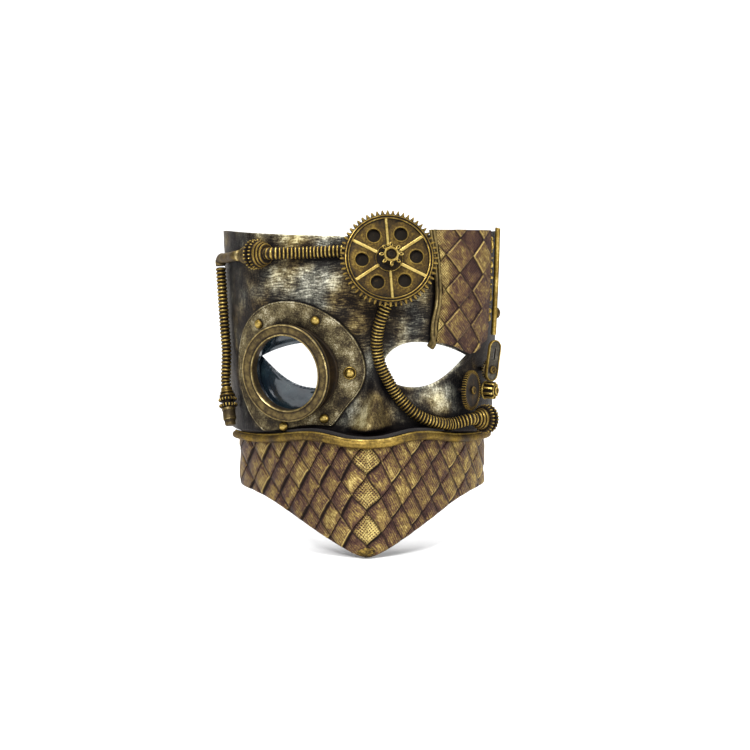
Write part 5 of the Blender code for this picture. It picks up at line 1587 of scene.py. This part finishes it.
def build_cheek_train():
    where = pin_frame(WHEEL_AT, WHEEL_YAW)
    half = 0.0012
    r = WHEEL_RADIUS
    levels = ((-half, r - 0.0011, r, 0.3), (0.0, r - 0.0011, r, 0.6), (half, r - 0.0011, r, 0.7))
    teeth = toothed(48, levels, r - 0.0022)
    disc = lathe([
        (0.0018, -half + 0.0004, 0.1), (r - 0.0020, -half + 0.0004, 0.1),
        *near(r, half, (-1.6, -0.2, 0.3), (-2, -0.1, 0.15), (-2.4, -0.3, -0.15), (-5, -0.4, -0.12)),
        (0.0018, half - 0.0004, -0.12),
    ], 72)
    piece("cheek_wheel_fine", merged(teeth, disc), "gold", "wheel", ("cheek_wheel",), where, 30)
    build_pin("wheel_pin_head", "wheel_pin", where, half + GAP, 0.35, 0.0130)

    where = pin_frame(CHEEK_PINION_AT)
    root, tip = CHEEK_PINION_RADIUS - 0.0016, CHEEK_PINION_RADIUS
    levels = (
        (0.0003, root, tip, 0.15), (0.0008, root, tip, 0.5), (0.0058, root, tip, 0.9),
        (0.0064, root - 0.0002, tip - 0.0003, 1.0),
    )
    flange = near(
        0, 0, (1.8, -1.2, 0), (5.6, -1.2, 0.2), (5.9, -0.8, 0.7), (5.9, -0.2, 0.8), (5.6, 0.1, 0.4),
        (1.8, 0.1, 0.1),
    )
    face = near(
        0, 0, (1.8, 6, 0), (3.6, 6, 0.1), (3.7, 6.7, 0.8), (3.3, 6.9, 0.9), (2.8, 6.6, 0.2), (1.8, 6.5, 0.1),
    )
    raw = merged(toothed(9, levels, PIN_BORE_RADIUS, BLUNT), lathe(flange, 40), lathe(face, 32))
    piece("cheek_pinion_cut", raw, "gold", "pinion", ("cheek_pinion",), where, 30)
    build_pin("pinion_arbor_head", "pinion_arbor", where, 0.0071, 0.8, 0.0080)

    where = pin_frame(LEVER_AT, LEVER_YAW)
    r = SIDE_GEAR_RADIUS
    levels = ((-0.0006, r - 0.0010, r, 0.5), (0.0006, r - 0.0010, r, 0.8))
    disc = lathe([
        (0.0018, -0.0005, 0.1),
        *near(r, 0, (-1, -0.5, 0.2), (-1, 0.6, 0.6), (-1.6, 0.7, 0.5), (-2, 0.4, 0.1)),
        (0.0018, 0.0004, 0.1),
    ], 48)
    raw = merged(toothed(24, levels, r - 0.0012), disc)
    piece("side_gear_thin", raw, "bronze", "thin_gear", ("side_gear",), where, 30)
    build_lever(where @ Matrix.Rotation(LEVER_LEAN, 4, "Z"))
    build_pin("lever_pin_head", "lever_pin", where, 0.0006 + GAP + LEVER_THICK + GAP, 0.35, 0.0130)


def build_lever(where):
    base = 0.0006 + GAP
    outline = stadium(LEVER_BLADE_HALF_WIDTH, -LEVER_TAIL, LEVER_LENGTH)
    slot = stadium(SLOT_HALF_WIDTH * 0.62, SLOT_LOW + 0.002, LEVER_LENGTH - 0.001)
    plate = flat_shape(outline, (circle_points(PIN_BORE_RADIUS, 24), slot), LEVER_THICK, base)
    plate.values["wear"][:] = 0.26
    path = np.array(stadium(LEVER_BLADE_HALF_WIDTH, -LEVER_TAIL, LEVER_LENGTH, 23))
    loops = []
    top = base + LEVER_THICK
    centre_y = np.clip(path[:, 1], -LEVER_TAIL, LEVER_LENGTH)
    out = path - np.stack([np.zeros(len(path)), centre_y], axis=-1)
    out = out / np.linalg.norm(out, axis=1, keepdims=True)
    section = (
        (-0.0007, top - 0.0002), (-0.0006, top + 0.0004), (-0.0001, top + 0.0005),
        (0.0002, top), (0.0001, base),
    )
    for away, height in section:
        points = path + out * away
        loops.append(stacked(points[:, 0], points[:, 1], height))
    bead = rings(loops, closed=True, wear=np.repeat((0.2, 0.5, 0.7, 0.5, 0.2), len(path)))
    piece("slotted_lever_blade", plate, "silver", "lever", ("slotted_lever",), where, 35)
    piece("slotted_lever_rim", bead, "gold", "lever", (), where, 35)


# ---------------------------------------------------------------- hoses and couplings

def ferrule_profile(radius, ring, far):
    """Three stepped rings over the hose end, and a stub through the collar."""
    r, mouth, stub = radius + GAP, -0.0095, radius * 0.75
    profile = [(r, mouth, 0.1)]
    steps = ((mouth, -0.0080, ring - 0.0016), (-0.0076, -0.0060, ring - 0.0007), (-0.0056, -0.0035, ring))
    for low, high, big in steps:
        profile += [
            *near(big, low, (-1.2, 0, -0.3), (-0.4, 0.1, 0.35), (0, 0.4, 0.6)),
            *near(big, high, (0.1, -0.3, 0), (-1.2, 0, -0.4)),
        ]
    profile += [(stub, -0.0035, 0.0), (stub, far, 0.2), (0, far, 0.2)]
    return [(0, -0.0062, 0.0), (r, -0.0062, 0.0), *profile]


def build_coupling(prefix, where, radius, ring, tip, root, teeth, nose=None, slats=False):
    """A ferrule, a double toothed collar and, with a nose of (wide, narrow, length), a turned cone."""
    far = 0.0060 if nose else 0.0032
    raw = lathe(ferrule_profile(radius, ring, far), 48)
    piece(prefix + "_ferrule_steps", raw, "gold", "mask", (prefix + "_ferrule",), where, 32)
    waist = root - 0.0010
    shape = BLUNT if slats else POINTED
    levels = (
        (-0.0032, root, root + 0.0004, 0.0), (-0.0028, root, tip - 0.0005, 0.5), (-0.0020, root, tip, 0.8),
        (-0.0011, root, tip - 0.0004, 0.5), (-0.0006, waist, waist, -0.2), (0.0006, waist, waist, -0.2),
        (0.0011, root, tip - 0.0004, 0.5), (0.0020, root, tip, 0.8), (0.0028, root, tip - 0.0005, 0.5),
        (0.0032, root, root + 0.0004, 0.0),
    )
    raw = toothed(teeth, levels, radius * 0.75 + GAP, shape)
    piece(prefix + "_collar_teeth", raw, "gold", "mask", (prefix + "_collar",), where, 40)
    if nose:
        wide, narrow, length = nose
        stub = radius * 0.75 + GAP
        cone = [
            (0, 0.0064, 0.0), (stub, 0.0064, 0.0), (stub, 0.0035, 0.0),
            *near(wide, 0, (-0.4, 3.5, 0.1), (0, 3.8, 0.7), (0, 5.2, 0.5), (-0.3, 5.6, 0.3)),
            ((wide + narrow) / 2 + 0.0003, length * 0.72, 0.35),
            ((wide + narrow) / 2 + 0.0003, length * 0.75, 0.8), (narrow + 0.0002, length * 0.78, 0.1),
            *near(narrow, length, (0, -0.4, 0.5), (-0.4, 0, 0.3)),
            (0, length, 0.2),
        ]
        piece(prefix + "_cone_turned", lathe(cone, 40), "bronze", "mask", (prefix + "_cone",), where, 32)


def local_points(where, heights):
    return [np.array(where @ Vector((0, 0, height))) for height in heights]


def build_hose(node, points, where, radius, pitch):
    """A ribbed hose through the points and into the mouth of its coupling."""
    path = points + local_points(where, HOSE_ENDS)
    piece(node + "_ribbed", ribbed(path, radius, pitch), "gold", "mask", (node,), smooth_deg=70)


def over_relief(table):
    """Where a hose rests on the face at each (x, z)."""
    return [rest_ball(x, z, HOSE_RADIUS + HOSE_CLEAR) for x, z in table]


def build_hoses():
    where = axis_frame(rest_ball(*TOP_COUPLING, COLLAR_TIP_RADIUS + HOSE_CLEAR), TOP_COUPLING_AXIS)
    build_coupling("top", where, HOSE_RADIUS, 0.0080, COLLAR_TIP_RADIUS, COLLAR_ROOT_RADIUS, COLLAR_TEETH,
                   (0.0062, 0.0046, 0.0115))
    build_hose("top_hose", over_relief(TOP_HOSE), where, HOSE_RADIUS, RIB_PITCH)
    bend = local_points(where, (0.0121, 0.0180)) + [on_face(*turn) for turn in ELBOW_BEND]
    path = smooth_path(bend, 0.0005)
    share = np.linspace(0, 1, len(path))
    bands = bump(share, 0.05, 0.03) + bump(share, 0.94, 0.03)
    wear = 0.28 + 0.55 * bands + 0.3 * lumps(path, 0.006)
    raw = sweep(path, SIDE_HOSE_RADIUS * (0.96 + 0.09 * bands), 24, wear)
    piece("elbow_pipe", raw, "bronze", "mask", ("elbow",), smooth_deg=70)

    top, foot = on_face(*SIDE_COUPLING_TOP), on_face(*SIDE_COUPLING_FOOT)
    axis = unit(foot - top)
    where = axis_frame(top + axis * 0.0140, axis, (0, -1, 0))
    cone = (0.0044, 0.0034, 0.0150)
    build_coupling("side", where, SIDE_HOSE_RADIUS, 0.0050, 0.0062, 0.0047, 18, cone, slats=True)
    run = [on_face(-75.5 + 4 * t, 0.0602 - 0.0544 * t, 0.0042) for t in (0.0, 0.25, 0.5, 0.75, 1.0)]
    build_hose("side_hose", run, where, SIDE_HOSE_RADIUS, RIB_PITCH)

    where = axis_frame(rest_ball(*CHEEK_COUPLING, COLLAR_TIP_RADIUS + HOSE_CLEAR), CHEEK_COUPLING_AXIS)
    build_coupling("cheek", where, HOSE_RADIUS, 0.0066, COLLAR_TIP_RADIUS, COLLAR_ROOT_RADIUS, COLLAR_TEETH)
    build_hose("face_hose", over_relief(FACE_HOSE), where, HOSE_RADIUS, FACE_RIB_PITCH)


# ---------------------------------------------------------------- nose pad and strap

def swollen(made, cap, pressure=4.0):
    """Blows a closed soft piece up a little with a cloth simulation, and leaves the plain mesh."""
    rest = np.array([vertex.co for vertex in made.data.vertices])
    modifier = made.modifiers.new("cloth", "CLOTH")
    settings = modifier.settings
    settings.use_pressure = True
    settings.uniform_pressure_force = pressure
    settings.effector_weights.gravity = 0.0
    settings.quality = 6
    modifier.point_cache.frame_start = 1
    modifier.point_cache.frame_end = 20
    scene = bpy.context.scene
    for number in range(1, 21):
        scene.frame_set(number)
    mesh = evaluated_mesh(made)
    moved = np.array([vertex.co for vertex in mesh.vertices])
    shift = moved - rest
    length = np.linalg.norm(shift, axis=1, keepdims=True)
    moved = rest + shift * np.minimum(1.0, cap / np.maximum(length, 1e-9))
    mesh.vertices.foreach_set("co", moved.astype(np.float32).ravel())
    made.modifiers.clear()
    made.data = mesh
    scene.frame_set(1)
    return made


def build_nose_pad():
    inset = SHELL_THICK + 4 * GAP
    us = np.linspace(-1, 1, 22)
    vs = np.linspace(-1, 1, 18)
    u, v = np.meshgrid(us, vs)
    corner = 1 - 0.10 * (u * v) ** 4
    x, z = u * PAD_WIDTH / 2 * 0.95 * corner, v * PAD_HEIGHT / 2 * 0.95 * corner
    front = over_face(x, z, -inset)
    rear = front.copy()
    rear[..., 1] = -0.0009
    made = make("foam_nose_pad", slab(front, rear), FINISH["foam"], smooth_deg=180)
    remesh = made.modifiers.new("even", "REMESH")
    remesh.mode = "VOXEL"
    remesh.voxel_size = 0.0006
    made.data = evaluated_mesh(made)
    made.modifiers.clear()
    swollen(made, 0.0008)
    soft = made.modifiers.new("soft", "SUBSURF")
    soft.levels = 1
    soft.render_levels = 1
    made.data.shade_smooth()
    if not made.data.materials:
        made.data.materials.append(FINISH["foam"])
    registered(made, "mask", ("nose_pad",))


def strap_path():
    half = ((0.0830, 0.0540), (0.0830, 0.0670), (0.0815, 0.0780), (0.0740, 0.0900),
            (0.0560, 0.1010), (0.0300, 0.1065), (0.0, 0.1080))
    points = [(-x, y, 0.0) for x, y in half] + [(x, y, 0.0) for x, y in reversed(half[:-1])]
    return smooth_path(points, 0.0010)


def build_strap():
    path = strap_path()
    along = unit(np.gradient(path, axis=0))
    out = np.stack([along[:, 1], -along[:, 0], np.zeros(len(path))], axis=-1)
    rows = 60
    share = np.linspace(-1, 1, rows)
    edge = np.sqrt(np.clip(1 - np.abs(share) ** 14, 0.03, 1))
    ridge = 0.78 + 0.22 * np.abs(np.sin(share * math.pi / 2 * STRAP_RIBS))
    length = np.arange(len(path)) * 0.0010
    pucker = 1 + 0.05 * np.sin(length * math.tau / 0.0035)
    thick = STRAP_THICK / 2 * edge[:, None] * ridge[:, None] * pucker
    centre = np.broadcast_to(path, (rows, len(path), 3)).copy()
    centre[..., 2] += STRAP_Z + (share * STRAP_WIDTH / 2)[:, None]
    front = centre + out * thick[..., None]
    back = centre - out * thick[..., None]
    across = (share * STRAP_WIDTH / 2)[:, None]
    flat = stacked(length, across, 0.0).reshape(-1, 3)
    raw = slab(front, back, weave=np.concatenate([flat, flat]))
    piece("elastic_strap", raw, "elastic", "head_strap", ("strap",), smooth_deg=70)
    for side, name in ((1, "left"), (-1, "right")):
        where = axis_frame((side * STRAP_X, STRAP_PIVOT_Y, STRAP_Z), (side, 0, 0))
        lip = STRAP_THICK / 2 + GAP
        bore = STRAP_RIVET_RADIUS + GAP
        eyelet = [
            *near(bore, -lip, (0, 0, 0.2), (0.4, -0.2, 0.9)),
            *near(0, -lip, (3.1, 0.1, 0.7), (3.4, 0.4, 0.3)),
            *near(0, lip, (3.4, -0.4, 0.3), (3.1, -0.1, 0.7)),
            *near(bore, lip, (0.4, 0.2, 0.9), (0, 0, 0.2)),
        ]
        ring = lathe(eyelet, 32)
        piece(f"eyelet_ring_{name}", ring, "gold", "head_strap", (f"strap_eyelet_{name}",), where)
        start = np.array((side * 0.110, STRAP_PIVOT_Y, STRAP_Z))
        seat = slide(start, np.array((-side, 0.0, 0.0)), 0.0, face_point)[0] * side - STRAP_X + GAP
        inner = -lip - GAP
        r = STRAP_RIVET_RADIUS
        rivet = [
            *near(0, inner, (0, -1.3, 0.6), (2.6, -1.4, 0.7), (3.3, -1, 0.8), (3.4, -0.3, 0.3),
                  (3.2, 0, 0.1)),
            (r, inner, 0.1), (r, seat, 0.1),
            *near(0, seat, (3.6, 0, 0.2), (3.6, 0.4, 0.5), (3, 1.3, 0.7), (1.8, 2, 0.9), (0.8, 2.3, 1),
                  (0, 2.3, 1)),
        ]
        piece(f"strap_stud_{name}", lathe(rivet, 32), "wall", "mask", (f"strap_rivet_{name}",), where)


# ---------------------------------------------------------------- stage, lights and camera

def build_stage():
    """A sheet of pale paper that runs back under the mask and curves up behind it."""
    floor_z = CAD_BOX[0][2] - FLOOR_GAP
    line = [(-3.0, 0.0), (SWEEP_START, 0.0)]
    for turn in np.linspace(0.05, math.pi / 2, 24):
        back, up = math.sin(turn), 1 - math.cos(turn)
        line.append((SWEEP_START + SWEEP_RADIUS * back, SWEEP_RADIUS * up))
    line.append((SWEEP_START + SWEEP_RADIUS, 3.5))
    across = np.linspace(-SWEEP_HALF_WIDTH, SWEEP_HALF_WIDTH, 5)
    grid = np.array([[(x, y, floor_z + z) for x in across] for y, z in line])
    raw = Raw(grid, grid_faces(len(line), 5))
    g = Graph("pale_floor")
    tone = g.noise(6.0, 2.0)
    colour = g.ramp(tone, (0.3, (0.86, 0.86, 0.86)), (0.7, (0.90, 0.90, 0.90)))
    floor = make("pale_sweep", raw, g.finish(colour, 0.9, 0.0))


def area_light(name, at, aim, size, power):
    data = bpy.data.lights.new(name, "AREA")
    data.shape = "RECTANGLE"
    data.size, data.size_y = size
    data.energy = power
    lamp = link(bpy.data.objects.new(name, data))
    lamp.location = at
    lamp.rotation_euler = (Vector(aim) - Vector(at)).to_track_quat("-Z", "Y").to_euler()


def build_lights():
    """A white surround for the camera, a dimmer one for the object, and the lamps."""
    world = bpy.data.worlds.new("studio")
    world.use_nodes = True
    nodes, links = world.node_tree.nodes, world.node_tree.links
    rays = nodes.new("ShaderNodeLightPath")
    strength = nodes.new("ShaderNodeMapRange")
    strength.inputs["To Min"].default_value = AMBIENT
    strength.inputs["To Max"].default_value = 1.0
    links.new(rays.outputs["Is Camera Ray"], strength.inputs["Value"])
    background = nodes["Background"]
    background.inputs["Color"].default_value = (1, 1, 1, 1)
    links.new(strength.outputs["Result"], background.inputs["Strength"])
    bpy.context.scene.world = world
    for lamp in LAMPS:
        area_light(*lamp)


def build_camera():
    back = facing_axis(CAMERA_AZIMUTH, CAMERA_ELEVATION)
    data = bpy.data.cameras.new("camera")
    data.lens = LENS_MM
    data.sensor_width = SENSOR_MM
    camera = link(bpy.data.objects.new("camera", data))
    camera.location = Vector(CAMERA_AIM) + back * CAMERA_DISTANCE
    camera.rotation_euler = (-back).to_track_quat("-Z", "Y").to_euler()
    bpy.context.scene.camera = camera


build_face()
build_chin()
build_brow()
build_brow_trims()
build_lip()
build_eye_plate()
build_barrel()
build_bezel()
build_plate_rivets()
build_forehead_gear()
build_hoses()
build_cheek_train()
build_nose_pad()
build_strap()
build_stage()
build_lights()
build_camera()
bpy.context.scene.view_settings.view_transform = "Standard"
bpy.context.view_layer.update()
